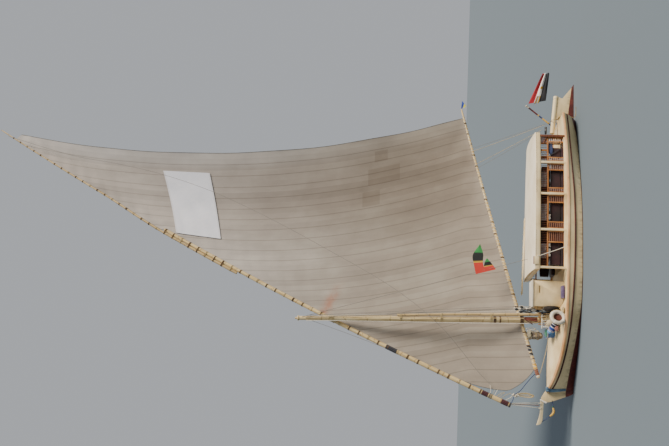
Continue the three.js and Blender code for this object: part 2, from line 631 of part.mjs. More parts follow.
// Stern: flag staff and flag, stern lamp
const STAFF_FOOT = [-5260, -430, 640];
const STAFF_TOP = [-6290, -430, 1900];
add('flag_staff', cut(rod(STAFF_FOOT, STAFF_TOP, 22, 8), above), CREAM, 0.6);
const flagOutline = [
  [-6225, 1850], [-6400, 1835], [-6840, 1650], [-7800, 1240], [-7880, 930], [-7300, 1010], [-6560, 1090],
  [-6390, 1700],
];
const fatStaff = rod(STAFF_FOOT, STAFF_TOP, 22 + SEAT_GAP, 8);
add('flag', cut(board(flagOutline, 8, STAFF_FOOT[1]), fatStaff), WHITE, 0.9);
add('stern_lamp', join(
  rod([AFT_X - 30 - SEAT_GAP, 900, 1270], [-4640, 900, 1270], 14, 8),
  rod([-4600, 900, 1270], [-4900, 900, 1270], 48, 12),
), RUBBER, 0.5);

// Ropes that hang free. A route is a smooth curve through points, cut into short steps.
function routed(points, radius, step, sides = 8) {
  const curve = new THREE.CatmullRomCurve3(points.map((p) => new THREE.Vector3(...p)), false, 'centripetal');
  const steps = Math.ceil(curve.getLength() / step);
  const places = curve.getSpacedPoints(steps).map((p) => p.toArray());
  return pole(places, places.map(() => radius), sides);
}

const PENDANT_RADIUS = 14;
const PENDANT_ROUTE = [
  [6955, 0, 1235], [6935, 0, 1180], [6880, 0, 1095], [6800, 0, 990], [6725, 0, 890], [6640, 0, 795], [6537, 0, 745],
  [6440, 0, 760], [6389, 0, 780], [6300, 0, 792], [6230, 0, 795], [6170, 0, 797], [6115, 0, 798],
];
const beak = board([...beakTop, ...beakBottom], 90);
add('bow_pendant', cut(routed(PENDANT_ROUTE, PENDANT_RADIUS, 64), moved(beak, 0, 0, -SEAT_GAP),
  moved(stem, SEAT_GAP, 0, 0)), NAVY, 0.9);
const WRAP_ROUTE = [[6725, 0, 890], [6640, 0, 795], [6537, 0, 745], [6440, 0, 760], [6389, 0, 780]];
add('pendant_wrap', cut(routed(WRAP_ROUTE, 50, 64, 10), routed(PENDANT_ROUTE, PENDANT_RADIUS + SEAT_GAP, 64)),
  '#d99a3a', 0.9);

const STERN_LINE_RADIUS = 12;
const STERN_LINE_ROUTE = [
  [-5560, -404, 1022], [-5530, -300, 985], [-5500, -150, 959], [-5482, 0, 949], [-5466, 130, 941],
  [-5450, 260, 893], [-5434, 390, 785], [-5422, 480, 702], [-5428, 540, 650], [-5437, 570, 570],
  [-5437, 585, 400], [-5437, 590, 220], [-5450, 594, 110], [-5500, 598, 40], [-5590, 605, 14],
  [-5720, 615, 12.4], [-5890, 640, 12.4],
];
add('stern_line', cut(routed(STERN_LINE_ROUTE, STERN_LINE_RADIUS, 58), above, fatStaff,
  moved(hullBody, -SEAT_GAP, 0, 0)), ROPE, 0.9);

const CURTAIN_ROPE_RADIUS = 14;
const CURTAIN_ROPE_ROUTE = [
  [668, 1826.6, 1662], [664, 1827, 1610], [606, 1838, 1446], [527, 1852, 1240], [442, 1868, 1020], [360, 1885, 815],
  [290, 1900, 660], [240, 1912, 585], [180, 1920, 562], [60, 1930, 560.5],
];
add('curtain_rope', cut(routed(CURTAIN_ROPE_ROUTE, CURTAIN_ROPE_RADIUS, 60), above), WHITE, 0.9);

// A cloth hangs over the port bow beside the stem
const CLOTH_STATIONS = [5765, 5590];
const clothRing = ([z, thickness]) => {
  const [a, b] = CLOTH_STATIONS.map((x) => new THREE.Vector2(x + bowLean(x, z), sideY(hullAt(x), z)));
  const out = new THREE.Vector2(b.y - a.y, a.x - b.x).normalize();
  const corners = [
    a.clone().addScaledVector(out, -6), b.clone().addScaledVector(out, -6),
    b.clone().addScaledVector(out, thickness), a.clone().addScaledVector(out, thickness),
  ];
  return corners.map((corner) => [corner.x, corner.y, z]);
};
const CLOTH_FOLDS = [[1040, 40], [1000, 62], [880, 66], [780, 52], [640, 62], [500, 46], [330, 30]];
const clothBody = loft(CLOTH_FOLDS.map(clothRing));
const clothCuts = [hullBody, strakeBody, capRailBody, stem].flatMap((solid) => [
  moved(solid, SEAT_GAP, 0, 0), moved(solid, 0, SEAT_GAP, 0), moved(solid, 0, 0, SEAT_GAP), moved(solid, 0, 0, -SEAT_GAP),
]);
add('bow_cloth', cut(clothBody, ...clothCuts), '#34668f', 0.95);

// A line from the masthead to the roof, with a small flag flying from it
const LINE_RADIUS = 8;
const lineHead = new THREE.Vector3(-0.5, 0.866, 0).multiplyScalar(mastRadius(10150) + LINE_RADIUS + 0.6);
const lineTop = lineHead.setZ(10150).applyEuler(rigBase.rotation).add(rigBase.position).toArray();
const LINE_FOOT = [520, 250, 1800];
const LINE_FLAG_Y = 221;
const lineFlagOutline = [
  [1254, 3920], [860, 4010], [474, 4070], [-20, 3770], [320, 3780], [420, 3620], [660, 3540], [560, 3480], [820, 3250],
  [1017, 3110],
];
const flagLine = join(rod(LINE_FOOT, lineTop, LINE_RADIUS, 6), board(lineFlagOutline, 10, LINE_FLAG_Y));
add('line_flag', cut(flagLine, overCanvas, roofDeck),
  '#c8452f', 0.9);

// Rudder: blade on its stock, and the log that is its head and tiller
const rudder = new THREE.Group();
rudder.position.set(RUDDER_AXIS_X, 0, 0);
group.add(rudder);
const logAxis = [[650, 0, 880], [-1030, 0, 730]];
const tillerLog = pole(logAxis, [92, 102], 16);
add('tiller_log', tillerLog, CREAM, 0.55, 0, rudder);
const logSeat = pole([[660, 0, 881], [-1040, 0, 729]], [92 + SEAT_GAP, 102 + SEAT_GAP], 16);
const stock = rod([0, 0, -780], [0, 0, 800], STOCK_RADIUS, 12);
const bladeFore = -STOCK_RADIUS + 6;
const notch = (z) => box(-54, 10, -80, 80, z - 40, z + 40);
const bladeOutline = [
  [bladeFore, -790], [bladeFore, 790], [-1010, 700], [-960, 560], [-930, 470], [-1330, 160], [-1800, -140],
  [-1830, -250], [-1550, -560], [-1000, -790],
];
const blade = cut(board(bladeOutline, 96), ...GUDGEON_HEIGHTS.map(notch));
add('rudder_blade', cut(join(blade, stock), logSeat), CREAM, 0.55, 0, rudder);

// Rig: everything here swings round the mast
const rig = new THREE.Group();
rig.rotation.z = RIG_SWING;
rigBase.add(rig);

const YARD_HEEL = [3400, 1740];
const YARD_PEAK = [-9340, 25430];
const yardRun = [YARD_PEAK[0] - YARD_HEEL[0], YARD_PEAK[1] - YARD_HEEL[1]];
const yardLength = Math.hypot(...yardRun);
const forward = [yardRun[1] / yardLength, -yardRun[0] / yardLength];

// A point on the yard's middle line, or set off from it towards its fore edge
function onYard(t, offset = 0) {
  const bow = YARD_BOW * 4 * t * (1 - t) + offset;
  return [
    YARD_HEEL[0] + yardRun[0] * t + forward[0] * bow, RIG_OFFSET,
    YARD_HEEL[1] + yardRun[1] * t + forward[1] * bow,
  ];
}

function yardPole(from, to, radii, offset) {
  const steps = 9;
  const points = [];
  const sizes = [];
  for (let i = 0; i <= steps; i += 1) {
    const s = i / steps;
    const t = from + (to - from) * s;
    points.push(onYard(t, offset(t)));
    sizes.push(radii[0] + (radii[1] - radii[0]) * s);
  }
  return pole(points, sizes, 10);
}

const UPPER_OFFSET = 134;
const UPPER_START = 0.47;
const LOWER_END = 0.62;
// The upper pole lies along the fore edge of the lower one, then runs into its line
const upperOffset = (t) => UPPER_OFFSET * (1 - THREE.MathUtils.smoothstep(t, LOWER_END, 0.76));
const YARD_LENGTH = 27000;
const fatter = (from, to, radii, extra, offset) => {
  const longer = extra / YARD_LENGTH;
  return yardPole(from - longer, to + longer, radii.map((r) => r + extra), offset);
};
const yardLower = (extra) => fatter(0, LOWER_END, [92, 72], extra, () => 0);
const yardUpper = (extra) => fatter(UPPER_START, 1, [64, 26], extra, upperOffset);
add('yard_lower', yardLower(0), BAMBOO, 0.6, 0, rig);
add('yard_upper', cut(yardUpper(0), yardLower(SEAT_GAP)), BAMBOO, 0.6, 0, rig);

const BOOM_FORE = [2300, 620];
const BOOM_AFT = [-9960, 3370];
const onBoom = (s, drop = 0) => [
  BOOM_FORE[0] + (BOOM_AFT[0] - BOOM_FORE[0]) * s, RIG_OFFSET,
  BOOM_FORE[1] + (BOOM_AFT[1] - BOOM_FORE[1]) * s + 70 * 4 * s * (1 - s) - drop,
];
const BOOM_RADII = [64, 62, 58, 52, 46, 36];
const boomPole = (extra) => pole(BOOM_RADII.map((_, i) => onBoom(i / 5)), BOOM_RADII.map((r) => r + extra), 10);
add('boom', boomPole(0), BAMBOO, 0.6, 0, rig);

// Collars: rope lashings that hold yard and boom to the mast and turn on it
const RUNNING_GAP = 2; // between a collar and the mast that it turns on
const COLLAR_SIDES = 24;
function collar(name, z, height, carried) {
  const inner = mastRadius(z) + RUNNING_GAP;
  const saddle = box(-80, 80, RIG_OFFSET + 20, -inner, -height / 2, height / 2);
  const body = join(rod([0, 0, -height / 2], [0, 0, height / 2], inner + 30, COLLAR_SIDES), saddle);
  const hole = rod([0, 0, z - height], [0, 0, z + height], inner, COLLAR_SIDES);
  add(name, cut(moved(body, 0, 0, z), hole, carried), ROPE, 0.95, 0, rig);
}
collar('yard_collar', 8930, 230, yardLower(SEAT_GAP));
collar('boom_collar', 1180, 160, boomPole(SEAT_GAP));

// Sail: rows from the luff to the leech, bellied to starboard
const SAIL_THICKNESS = 12;
const SAIL_BELLY = 820;
const SAIL_ROWS = 16;
const SAIL_COLUMNS = 14;
// The sail's edges start inside the poles' outlines and are cut back to their skins
const TACK_REACH = 0.12; // up to this part of the yard the luff stands off it
const TACK_PULL = 620;
const TACK_BULGE = 70;
const luffInset = (t) => 60 - 42 * THREE.MathUtils.smoothstep(t, LOWER_END - 0.02, 0.76)
  + TACK_PULL * Math.max(0, 1 - t / TACK_REACH) ** 3;
const FOOT_INSET = 34;
const FOOT_START = 0.03; // the sail's foot runs along this part of the boom
const FOOT_END = 0.96;
const clew = onBoom(FOOT_END, -FOOT_INSET);
// Leech from the clew up to the peak, x and z
const LEECH = [
  [clew[0], clew[2]], [-8900, 5500], [-8350, 8250], [-8000, 11250], [-7900, 14200],
  [-7990, 17100], [-8260, 19900], [-8580, 22000], [-9060, 24330],
];
const leechCurve = new THREE.SplineCurve(LEECH.map(([x, z]) => new THREE.Vector2(x, z)));
const TACK_T = 0.012;

// Past the lower pole's end the luff follows the upper one
const upperShift = (t) => (t > LOWER_END ? upperOffset(t) : 0);

function luffPoint(t) {
  if (t > 0.06) {
    const up = TACK_T + (0.962 - TACK_T) * ((t - 0.06) / 0.94);
    const [x, , z] = onYard(up, upperShift(up) - luffInset(up));
    return [x, z];
  }
  const [x1, , z1] = onYard(TACK_T, -luffInset(TACK_T));
  const [x0, , z0] = onBoom(FOOT_START, -FOOT_INSET);
  const q = t / 0.06;
  const bulge = TACK_BULGE * 4 * q * (1 - q);
  return [x0 + (x1 - x0) * q + bulge, z0 + (z1 - z0) * q - bulge];
}

function sailPoint(s, t) {
  const [lx, lz] = luffPoint(t);
  const leech = leechCurve.getPoint(t);
  const tack = onBoom(FOOT_START, -FOOT_INSET);
  const foot = onBoom(FOOT_START + (FOOT_END - FOOT_START) * s, -FOOT_INSET);
  const sag = (foot[2] - tack[2] - (clew[2] - tack[2]) * s) * (1 - t) ** 4;
  const belly = SAIL_BELLY * 4 * s * (1 - s) * Math.sin(Math.PI * t ** 0.55) * (1 - 0.35 * t);
  return [lx + (leech.x - lx) * s, RIG_OFFSET - belly, lz + (leech.y - lz) * s + sag];
}

function sailRing(t) {
  const front = [];
  for (let i = 0; i <= SAIL_COLUMNS; i += 1) front.push(sailPoint(i / SAIL_COLUMNS, t));
  const back = front.slice().reverse().map(([x, y, z]) => [x, y - SAIL_THICKNESS / 2, z]);
  return front.map(([x, y, z]) => [x, y + SAIL_THICKNESS / 2, z]).concat(back).reverse();
}
const TACK_ROWS = [0, 0.02, 0.04, 0.06, 0.08, 0.1]; // closer rows where the luff curves to the tack
const sailHeights = [...TACK_ROWS, ...Array.from({ length: SAIL_ROWS - 1 }, (_, i) => (i + 2) / SAIL_ROWS)];
const sail = cut(loft(sailHeights.map(sailRing)), yardLower(SEAT_GAP), yardUpper(SEAT_GAP), boomPole(SEAT_GAP));
add('sail', sail, CANVAS, 0.85, 0, rig);

// Spare canvas and line lashed in a bundle under the boom, beside the mast
const bundleTop = onBoom(0.14)[2] - 40;
const bundle = pole([[560, RIG_OFFSET, bundleTop], [570, RIG_OFFSET - 10, bundleTop - 250],
  [600, RIG_OFFSET, bundleTop - 640]], [120, 170, 90], 12);
add('boom_bundle', cut(bundle, boomPole(SEAT_GAP)), '#8c8774', 0.95, 0, rig);

export default group;
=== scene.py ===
# %% [markdown]
# A sailing felucca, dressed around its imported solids.
# The solids give every size and place. This file gives the finish: paint, varnish, canvas, rope
# and cushions. Everything is in metres: +X is the bow, +Y is port, +Z is up, and z = 0 is the water.

# %% Load the fixed frame
import contextlib
import math
import random

import bmesh
import bpy
import numpy as np
from mathutils import Matrix, Vector
from mathutils.bvhtree import BVHTree


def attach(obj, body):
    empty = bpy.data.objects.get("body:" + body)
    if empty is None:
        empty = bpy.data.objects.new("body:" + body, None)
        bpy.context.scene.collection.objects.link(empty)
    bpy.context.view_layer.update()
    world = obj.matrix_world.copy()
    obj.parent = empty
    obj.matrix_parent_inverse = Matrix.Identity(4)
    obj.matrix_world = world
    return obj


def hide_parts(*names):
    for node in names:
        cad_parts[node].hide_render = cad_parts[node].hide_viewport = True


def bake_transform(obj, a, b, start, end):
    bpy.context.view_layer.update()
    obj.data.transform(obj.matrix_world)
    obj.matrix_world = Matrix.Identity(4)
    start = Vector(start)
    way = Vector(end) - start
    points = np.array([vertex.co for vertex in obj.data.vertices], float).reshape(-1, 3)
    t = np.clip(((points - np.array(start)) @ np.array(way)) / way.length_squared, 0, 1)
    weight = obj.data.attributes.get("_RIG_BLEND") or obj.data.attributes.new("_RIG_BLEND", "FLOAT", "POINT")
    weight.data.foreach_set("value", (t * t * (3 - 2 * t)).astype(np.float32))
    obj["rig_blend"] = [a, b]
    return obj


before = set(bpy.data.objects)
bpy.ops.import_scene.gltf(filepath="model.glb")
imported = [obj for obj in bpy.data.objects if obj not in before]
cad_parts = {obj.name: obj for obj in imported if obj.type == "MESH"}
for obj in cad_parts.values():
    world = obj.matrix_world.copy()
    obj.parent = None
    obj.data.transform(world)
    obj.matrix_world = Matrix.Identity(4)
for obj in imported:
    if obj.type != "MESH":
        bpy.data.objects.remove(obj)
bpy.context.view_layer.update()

# %% [markdown]
# The picture was taken from a low bank off the port side, and then turned a quarter turn, so the
# masthead is at its left. The camera stands where the photographer stood, with that same turn.

# %% Camera
def added(name, data):
    """A new object in the scene."""
    made = bpy.data.objects.new(name, data)
    bpy.context.scene.collection.objects.link(made)
    return made


HEADING = math.radians(12)
PITCH = math.radians(7)
ROLL = math.radians(2.16)
CAMERA_PLACE = (6.360, 33.275, 5.717)

across = Vector((-math.cos(HEADING), math.sin(HEADING), 0))
level = Vector((-math.sin(HEADING), -math.cos(HEADING), 0))
ahead = level * math.cos(PITCH) + Vector((0, 0, math.sin(PITCH)))
above = level * -math.sin(PITCH) + Vector((0, 0, math.cos(PITCH)))
picture_up = across * math.cos(ROLL) + above * math.sin(ROLL)
picture_left = above * math.cos(ROLL) - across * math.sin(ROLL)
camera = added("camera", bpy.data.cameras.new("camera"))
camera.data.lens = 43.32
camera.data.sensor_width = 36
camera.data.clip_end = 600
turn = Matrix((-picture_left, picture_up, -ahead)).transposed().to_4x4()
camera.matrix_world = Matrix.Translation(CAMERA_PLACE) @ turn
bpy.context.scene.camera = camera


# %% [markdown]
# A material is a small tree of nodes. One function adds a node with its settings and what feeds it,
# and another turns the colours, which are written as on a paint card, into the light that they are.

# %% Nodes and colours
def add_node(tree, kind, settings=None, inputs=None):
    """Adds a node. An input is a plain value or another node's output."""
    made = tree.nodes.new(kind)
    for name, value in (settings or {}).items():
        setattr(made, name, value)
    for key, value in (inputs or {}).items():
        if isinstance(value, bpy.types.NodeSocket):
            tree.links.new(value, made.inputs[key])
        else:
            made.inputs[key].default_value = value
    return made


def linear(code):
    """An sRGB hex colour as linear red, green, blue and alpha."""
    parts = [int(code[i:i + 2], 16) / 255 for i in (1, 3, 5)]
    return [c / 12.92 if c <= 0.04045 else ((c + 0.055) / 1.055) ** 2.4 for c in parts] + [1.0]


class Finish:
    """A material with the places and shader that its pattern starts from."""

    def __init__(self, name, roughness, **shader):
        self.material = bpy.data.materials.new(name)
        self.material.use_nodes = True
        self.tree = self.material.node_tree
        self.shader = self.tree.nodes["Principled BSDF"]
        self.shader.inputs["Roughness"].default_value = roughness
        for key, value in shader.items():
            self.shader.inputs[key.replace("_", " ")].default_value = value
        place = self.tree.nodes.new("ShaderNodeTexCoord")
        self.object = place.outputs["Object"]
        self.uv = place.outputs["UV"]

    def math(self, operation, *values):
        return add_node(self.tree, "ShaderNodeMath", {"operation": operation},
                        dict(enumerate(values))).outputs[0]

    def times(self, first, second):
        return self.math("MULTIPLY", first, second)

    def plus(self, first, second):
        return self.math("ADD", first, second)

    def minus(self, first, second):
        return self.math("SUBTRACT", first, second)

    def opposite(self, value):
        """1 where the value is 0, and 0 where it is 1."""
        return self.minus(1, value)

    def split(self, vector):
        return add_node(self.tree, "ShaderNodeSeparateXYZ", None, {0: vector}).outputs

    def stretched(self, vector, scale):
        return add_node(self.tree, "ShaderNodeMapping", None, {"Vector": vector, "Scale": scale}).outputs[0]

    def noise(self, vector, size, detail=4, roughness=0.55):
        """Noise whose blotches measure about size metres."""
        inputs = {"Vector": vector, "Scale": 1 / size, "Detail": detail, "Roughness": roughness}
        return add_node(self.tree, "ShaderNodeTexNoise", None, inputs).outputs["Fac"]

    def ramp(self, factor, *stops):
        """Colours at places along a factor: (place, hex colour)."""
        made = add_node(self.tree, "ShaderNodeValToRGB", None, {"Fac": factor})
        while len(made.color_ramp.elements) < len(stops):
            made.color_ramp.elements.new(0.5)
        for element, (place, code) in zip(made.color_ramp.elements, stops):
            element.position = place
            element.color = linear(code)
        return made.outputs["Color"]

    def step(self, value, low, high):
        """0 below low, 1 above high, smooth between."""
        settings = {"interpolation_type": "SMOOTHSTEP"}
        return add_node(self.tree, "ShaderNodeMapRange", settings,
                        {"Value": value, 1: low, 2: high}).outputs[0]

    def window(self, value, low, high):
        """1 between low and high, 0 outside, with soft edges."""
        edge = 0.02
        return self.times(self.step(value, low, low + edge),
                          self.opposite(self.step(value, high - edge, high)))

    def mix(self, factor, first, second, blend="MIX"):
        settings = {"data_type": "RGBA", "blend_type": blend}
        made = add_node(self.tree, "ShaderNodeMix", settings, {"Factor": factor, 6: first, 7: second})
        return made.outputs[2]

    def darker(self, color, where, amount, code):
        """The colour multiplied with another one by that amount, where a mask is 1."""
        return self.mix(self.times(where, amount), color, linear(code), "MULTIPLY")

    def done(self, color, height=None, depth=0.001, strength=0.5, roughness=None):
        """Sends the colour, the bump of that depth in metres and the roughness to the shader."""
        self.tree.links.new(color, self.shader.inputs["Base Color"])
        if roughness is not None:
            self.tree.links.new(roughness, self.shader.inputs["Roughness"])
        if height is not None:
            inputs = {"Height": height, "Strength": strength, "Distance": depth}
            bump = add_node(self.tree, "ShaderNodeBump", None, inputs)
            self.tree.links.new(bump.outputs[0], self.shader.inputs["Normal"])
        return self.material


# %% [markdown]
# Oil paint on boat timber. It is brushed on thick, so it keeps a soft shine; the sun chalks it in
# patches, dust settles in it, and the planks under it show as faint lines.

# %% Paints
def oil_paint(name, body, dark, light, roughness=0.5, board=0.14):
    """Brushed paint on boards that run fore and aft and are board metres wide."""
    finish = Finish(name, roughness)
    patches = finish.noise(finish.object, 0.9, 5)
    brush = finish.noise(finish.stretched(finish.object, (1, 9, 9)), 0.12, 3)
    color = finish.ramp(patches, (0.3, dark), (0.5, body), (0.7, light))
    color = finish.mix(finish.step(brush, 0.55, 0.85), color, linear(light))
    x, y, z = finish.split(finish.object)
    seam = finish.step(finish.math("PINGPONG", y, board / 2), 0.001, 0.004)
    color = finish.darker(color, finish.opposite(seam), 0.35, dark)
    height = finish.plus(finish.times(seam, 0.7), finish.times(brush, 0.3))
    worn = finish.plus(finish.times(patches, 0.3), roughness - 0.12)
    return finish.done(color, height, 0.002, 0.5, worn)


CREAM = oil_paint("oil_paint_cream_on_timber", "#e9d3a4", "#cdb183", "#f3e2bd")
WHITE_PAINT = oil_paint("oil_paint_white_on_timber", "#ddd6c8", "#bdb4a2", "#ece6da", 0.45, 0.3)
DARK_RED = oil_paint("oil_paint_dark_red_on_timber", "#45120c", "#2e0b08", "#571d13", 0.7, 5.0)
RAIL_PAINT = oil_paint("oil_paint_sand_on_rail", "#d8a877", "#b5824f", "#e6c196", 0.5, 0.5)


# %% [markdown]
# Varnished timber keeps its grain. The grain is noise drawn out along the board, thin and dark
# where the late wood lies, under a clear coat that shines more than the wood.

# %% Varnish
def varnish(name, dark, body, light, along):
    finish = Finish(name, 0.42, Coat_Weight=0.45, Coat_Roughness=0.22)
    stretch = {"X": (1, 14, 14), "Z": (14, 14, 1)}[along]
    grain = finish.noise(finish.stretched(finish.object, stretch), 0.18, 6, 0.6)
    board = finish.noise(finish.object, 0.7, 2)
    tone = finish.plus(finish.times(grain, 0.7), finish.times(board, 0.3))
    color = finish.ramp(tone, (0.32, dark), (0.48, body), (0.66, light))
    return finish.done(color, grain, 0.0012, 0.4)


VARNISH_SLAT = varnish("varnished_hardwood_slats", "#3e1c0f", "#69391f", "#8f5531", "X")
VARNISH_UPRIGHT = varnish("varnished_hardwood_stiles", "#7a4722", "#a86f3a", "#c68f52", "Z")
VARNISH_RAIL = varnish("varnished_hardwood_rails", "#70401d", "#9f6632", "#bd8348", "X")
VARNISH_SOLE = varnish("varnished_sole_boards", "#3a2013", "#5c3823", "#7a5234", "X")


# %% [markdown]
# The poles are straight trunks, scraped and painted thin. Weather draws them into long streaks, and
# each old branch leaves a darker ring. The pattern follows each pole: U runs round it and V along it.

# %% Poles
def pole_finish(name, dark, body, light, ring_pitch=0.62):
    finish = Finish(name, 0.55)
    streak = finish.noise(finish.stretched(finish.uv, (6, 0.9, 1)), 0.8, 6, 0.65)
    patch = finish.noise(finish.uv, 1.4, 3)
    tone = finish.plus(finish.times(streak, 0.55), finish.times(patch, 0.45))
    color = finish.ramp(tone, (0.34, dark), (0.5, body), (0.64, light))
    u, v, w = finish.split(finish.uv)
    wander = finish.plus(v, finish.times(patch, 0.5))
    ring = finish.math("PINGPONG", wander, ring_pitch / 2)
    node_ring = finish.opposite(finish.step(ring, 0.008, 0.03))
    color = finish.darker(color, node_ring, 0.55, dark)
    height = finish.plus(streak, node_ring)
    return finish.done(color, height, 0.004, 0.5)


POLE = pole_finish("scraped_pole_pale", "#a88a5c", "#d3b983", "#e7d4a6")
MAST_POLE = pole_finish("scraped_mast_pale", "#a98d60", "#d6bf8d", "#e9d9b1", 0.95)
SPAR_POLE = pole_finish("scraped_pole_grey", "#8d7750", "#c0a573", "#d9c294", 0.5)


# %% [markdown]
# Rope is strands laid round each other. U runs round the rope and V along it, so a slanting wave
# over both gives the strands. Real strands are finer than a pixel here, so they are drawn wide.

# %% Ropes
def laid_rope(name, dark, light, turns=30.0):
    """Three-strand rope. Turns is how often a strand goes round in a metre."""
    finish = Finish(name, 0.85, Sheen_Weight=0.25)
    u, v, w = finish.split(finish.uv)
    slant = finish.plus(finish.times(u, 3.0), finish.times(v, turns))
    strand = finish.math("ABSOLUTE", finish.math("SINE", finish.times(slant, math.pi)))
    dirt = finish.noise(finish.object, 0.25, 4)
    tone = finish.plus(finish.times(strand, 0.55), finish.times(dirt, 0.45))
    color = finish.ramp(tone, (0.2, dark), (0.75, light))
    return finish.done(color, strand, 0.003, 0.6)


ROPE = laid_rope("laid_hemp_rope", "#75603a", "#cdb888")
OLD_ROPE = laid_rope("laid_old_rope", "#3d3220", "#b09a68", 22.0)
WHITE_ROPE = laid_rope("laid_cotton_rope_white", "#aaa08d", "#efe8d8")
NAVY_ROPE = laid_rope("laid_rope_navy", "#1a2140", "#3a4a78")
GREY_LINE = laid_rope("laid_line_grey", "#4d4a45", "#85807a")
RED_WRAP = laid_rope("cord_wrap_dark_red", "#2e0f14", "#6a2a30", 12.0)
DARK_WRAP = laid_rope("cord_wrap_black", "#121216", "#33343c", 12.0)
BROWN_WRAP = laid_rope("cord_wrap_brown", "#50281c", "#94604a", 12.0)
MAROON_WRAP = laid_rope("cord_wrap_maroon", "#22090d", "#4a1820", 12.0)
YELLOW_WRAP = laid_rope("cord_wrap_yellow", "#a8791f", "#e0b758", 12.0)


# %% [markdown]
# Cloth is two sets of threads that cross. The threads are half a millimetre apart in truth and are
# drawn a few millimetres apart, so that the light still catches on them.

# %% Cloths
def woven(name, dark, body, light, thread=0.004, roughness=0.9, fold=0.5):
    finish = Finish(name, roughness, Sheen_Weight=0.25)
    x, y, z = finish.split(finish.object)
    warp = finish.math("SINE", finish.times(finish.plus(x, y), 2 * math.pi / thread))
    weft = finish.math("SINE", finish.times(z, 2 * math.pi / thread))
    weave = finish.times(warp, weft)
    faded = finish.noise(finish.object, fold, 5)
    color = finish.ramp(faded, (0.3, dark), (0.5, body), (0.7, light))
    return finish.done(color, finish.plus(weave, faded), 0.0015, 0.35)


GREEN_CLOTH = woven("woven_cotton_green", "#1f4a3a", "#2f6b54", "#4f8a70")
# The cushions' maroon is darker than the cloth's own colour: it holds painted shade for the shade under the
# saloon's roof.
MAROON_AND_SHADE = woven("woven_cotton_maroon_and_painted_shade", "#14070a", "#230c11", "#34151c")
PURPLE = woven("woven_cotton_purple", "#352b47", "#4d3f63", "#6a5a80")
WHITE_CLOTH = woven("woven_cotton_white", "#c9c4ba", "#e4e0d6", "#f4f1ea")
BROWN_CLOTH = woven("faded_cotton_brown_red", "#4a2318", "#7a3d2c", "#9a5c46")
OLIVE_CLOTH = woven("folded_canvas_olive", "#605c48", "#8c8670", "#aca48c", 0.006)
FADED_BLUE = woven("faded_cotton_blue_grey", "#1d3a52", "#41627c", "#7a93a3")
GREY_AWNING = woven("rolled_awning_grey", "#3d352d", "#6f6458", "#a89c88", 0.006, 0.9, 0.12)
GAUZE = woven("gathered_gauze_grey", "#87817d", "#b0aaa5", "#cdc7c0", 0.006)
TAN_CANVAS = woven("woven_canvas_tan", "#8a5f2c", "#bd8a48", "#d9ae72", 0.006)
PALE_CANVAS = woven("woven_canvas_pale", "#a08d6c", "#cdba95", "#e3d5b8", 0.006)
PINK_CLOTH = woven("faded_cotton_pink", "#5e302a", "#8a554a", "#b58b7c")
NAVY_CLOTH = woven("woven_nylon_navy", "#10162e", "#1e2a52", "#3a4a78", 0.003, 0.6)
ROOF_CANVAS = woven("stretched_canvas_white", "#decfb2", "#f0e2c8", "#f9efdb", 0.006, 0.85, 1.2)


# %% [markdown]
# A few things are moulded: a plastic tub, a foam-filled life ring, an old tyre and a black lamp.
# Moulded plastic has faint dimples and scuffs, and rubber is dusty.

# %% Moulded finishes
def moulded(name, body, worn, roughness, grain=0.004):
    finish = Finish(name, roughness)
    scuff = finish.noise(finish.object, 0.12, 6, 0.7)
    color = finish.ramp(scuff, (0.45, body), (0.72, worn))
    return finish.done(color, finish.noise(finish.object, grain, 2), 0.0008, 0.3)


TUB_BLUE = moulded("moulded_polyethylene_blue", "#2a62a4", "#5685b4", 0.4)
RING_WHITE = moulded("moulded_shell_white", "#dcd4c4", "#a89a84", 0.5)
LAMP_BLACK = moulded("moulded_housing_black", "#17181b", "#3a3b40", 0.35)
TYRE_RUBBER = moulded("worn_tyre_rubber", "#1b1512", "#3d3129", 0.85, 0.01)


# %% [markdown]
# Every piece is a mesh whose points already lie where they belong, so that its object stays at the
# origin. A new piece is told which body carries it and which plain solids it stands for.

# %% Pieces
SOFT = 60  # the angle in degrees from which an edge of cloth or rope looks sharp; of hard things it is 35


def piece(name, mesh, finish, body, stands_for=(), slot="rope", sharp_angle=35):
    """A finished mesh as an object that rides on a body of the boat, or stretches between two."""
    made = added(name, mesh)
    mesh.name = name
    if finish is not None:
        mesh.materials.clear()
        mesh.materials.append(finish)
    mesh.polygons.foreach_set("use_smooth", [True] * len(mesh.polygons))
    mesh.set_sharp_from_angle(angle=math.radians(sharp_angle))
    if isinstance(body, str):
        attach(made, body)
    else:
        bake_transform(made, *body)
    if stands_for:
        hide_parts(*stands_for)
    return made


def cloth_sheet(made, flat, area=None):
    """Prints how a piece's area, counted on one face, compares with the flat cut."""
    skin = sum(face.area for face in made.data.polygons) / 2
    print("sheet", made.name, "skin", round(skin, 2), "of", round(area or flat[0] * flat[1], 2),
          "square metres")


def mesh_of(points, faces, uvs=None):
    """A mesh from points and faces; uvs gives one pair for each corner, in the faces' order."""
    mesh = bpy.data.meshes.new("mesh")
    mesh.from_pydata([tuple(p) for p in points], [], faces)
    if uvs is not None:
        layer = mesh.uv_layers.new(name="UVMap")
        layer.data.foreach_set("uv", np.asarray(uvs, np.float32).ravel())
    return mesh


def joined(*meshes):
    """Several meshes as one, with their UVs and materials kept."""
    parts = [added("part", mesh) for mesh in meshes]
    with bpy.context.temp_override(active_object=parts[0], selected_editable_objects=parts):
        bpy.ops.object.join()
    mesh = parts[0].data
    bpy.data.objects.remove(parts[0])
    return mesh


def evaluated(made):
    """The object's mesh with its modifiers applied; the object itself is removed."""
    graph = bpy.context.evaluated_depsgraph_get()
    mesh = bpy.data.meshes.new_from_object(made.evaluated_get(graph))
    bpy.data.objects.remove(made)
    return mesh


def modified(mesh, *modifiers):
    """A mesh after modifiers, each given as its type and its settings."""
    holder = added("holder", mesh)
    for kind, settings in modifiers:
        made = holder.modifiers.new(kind.lower(), kind)
        for name, value in settings.items():
            setattr(made, name, value)
    return evaluated(holder)


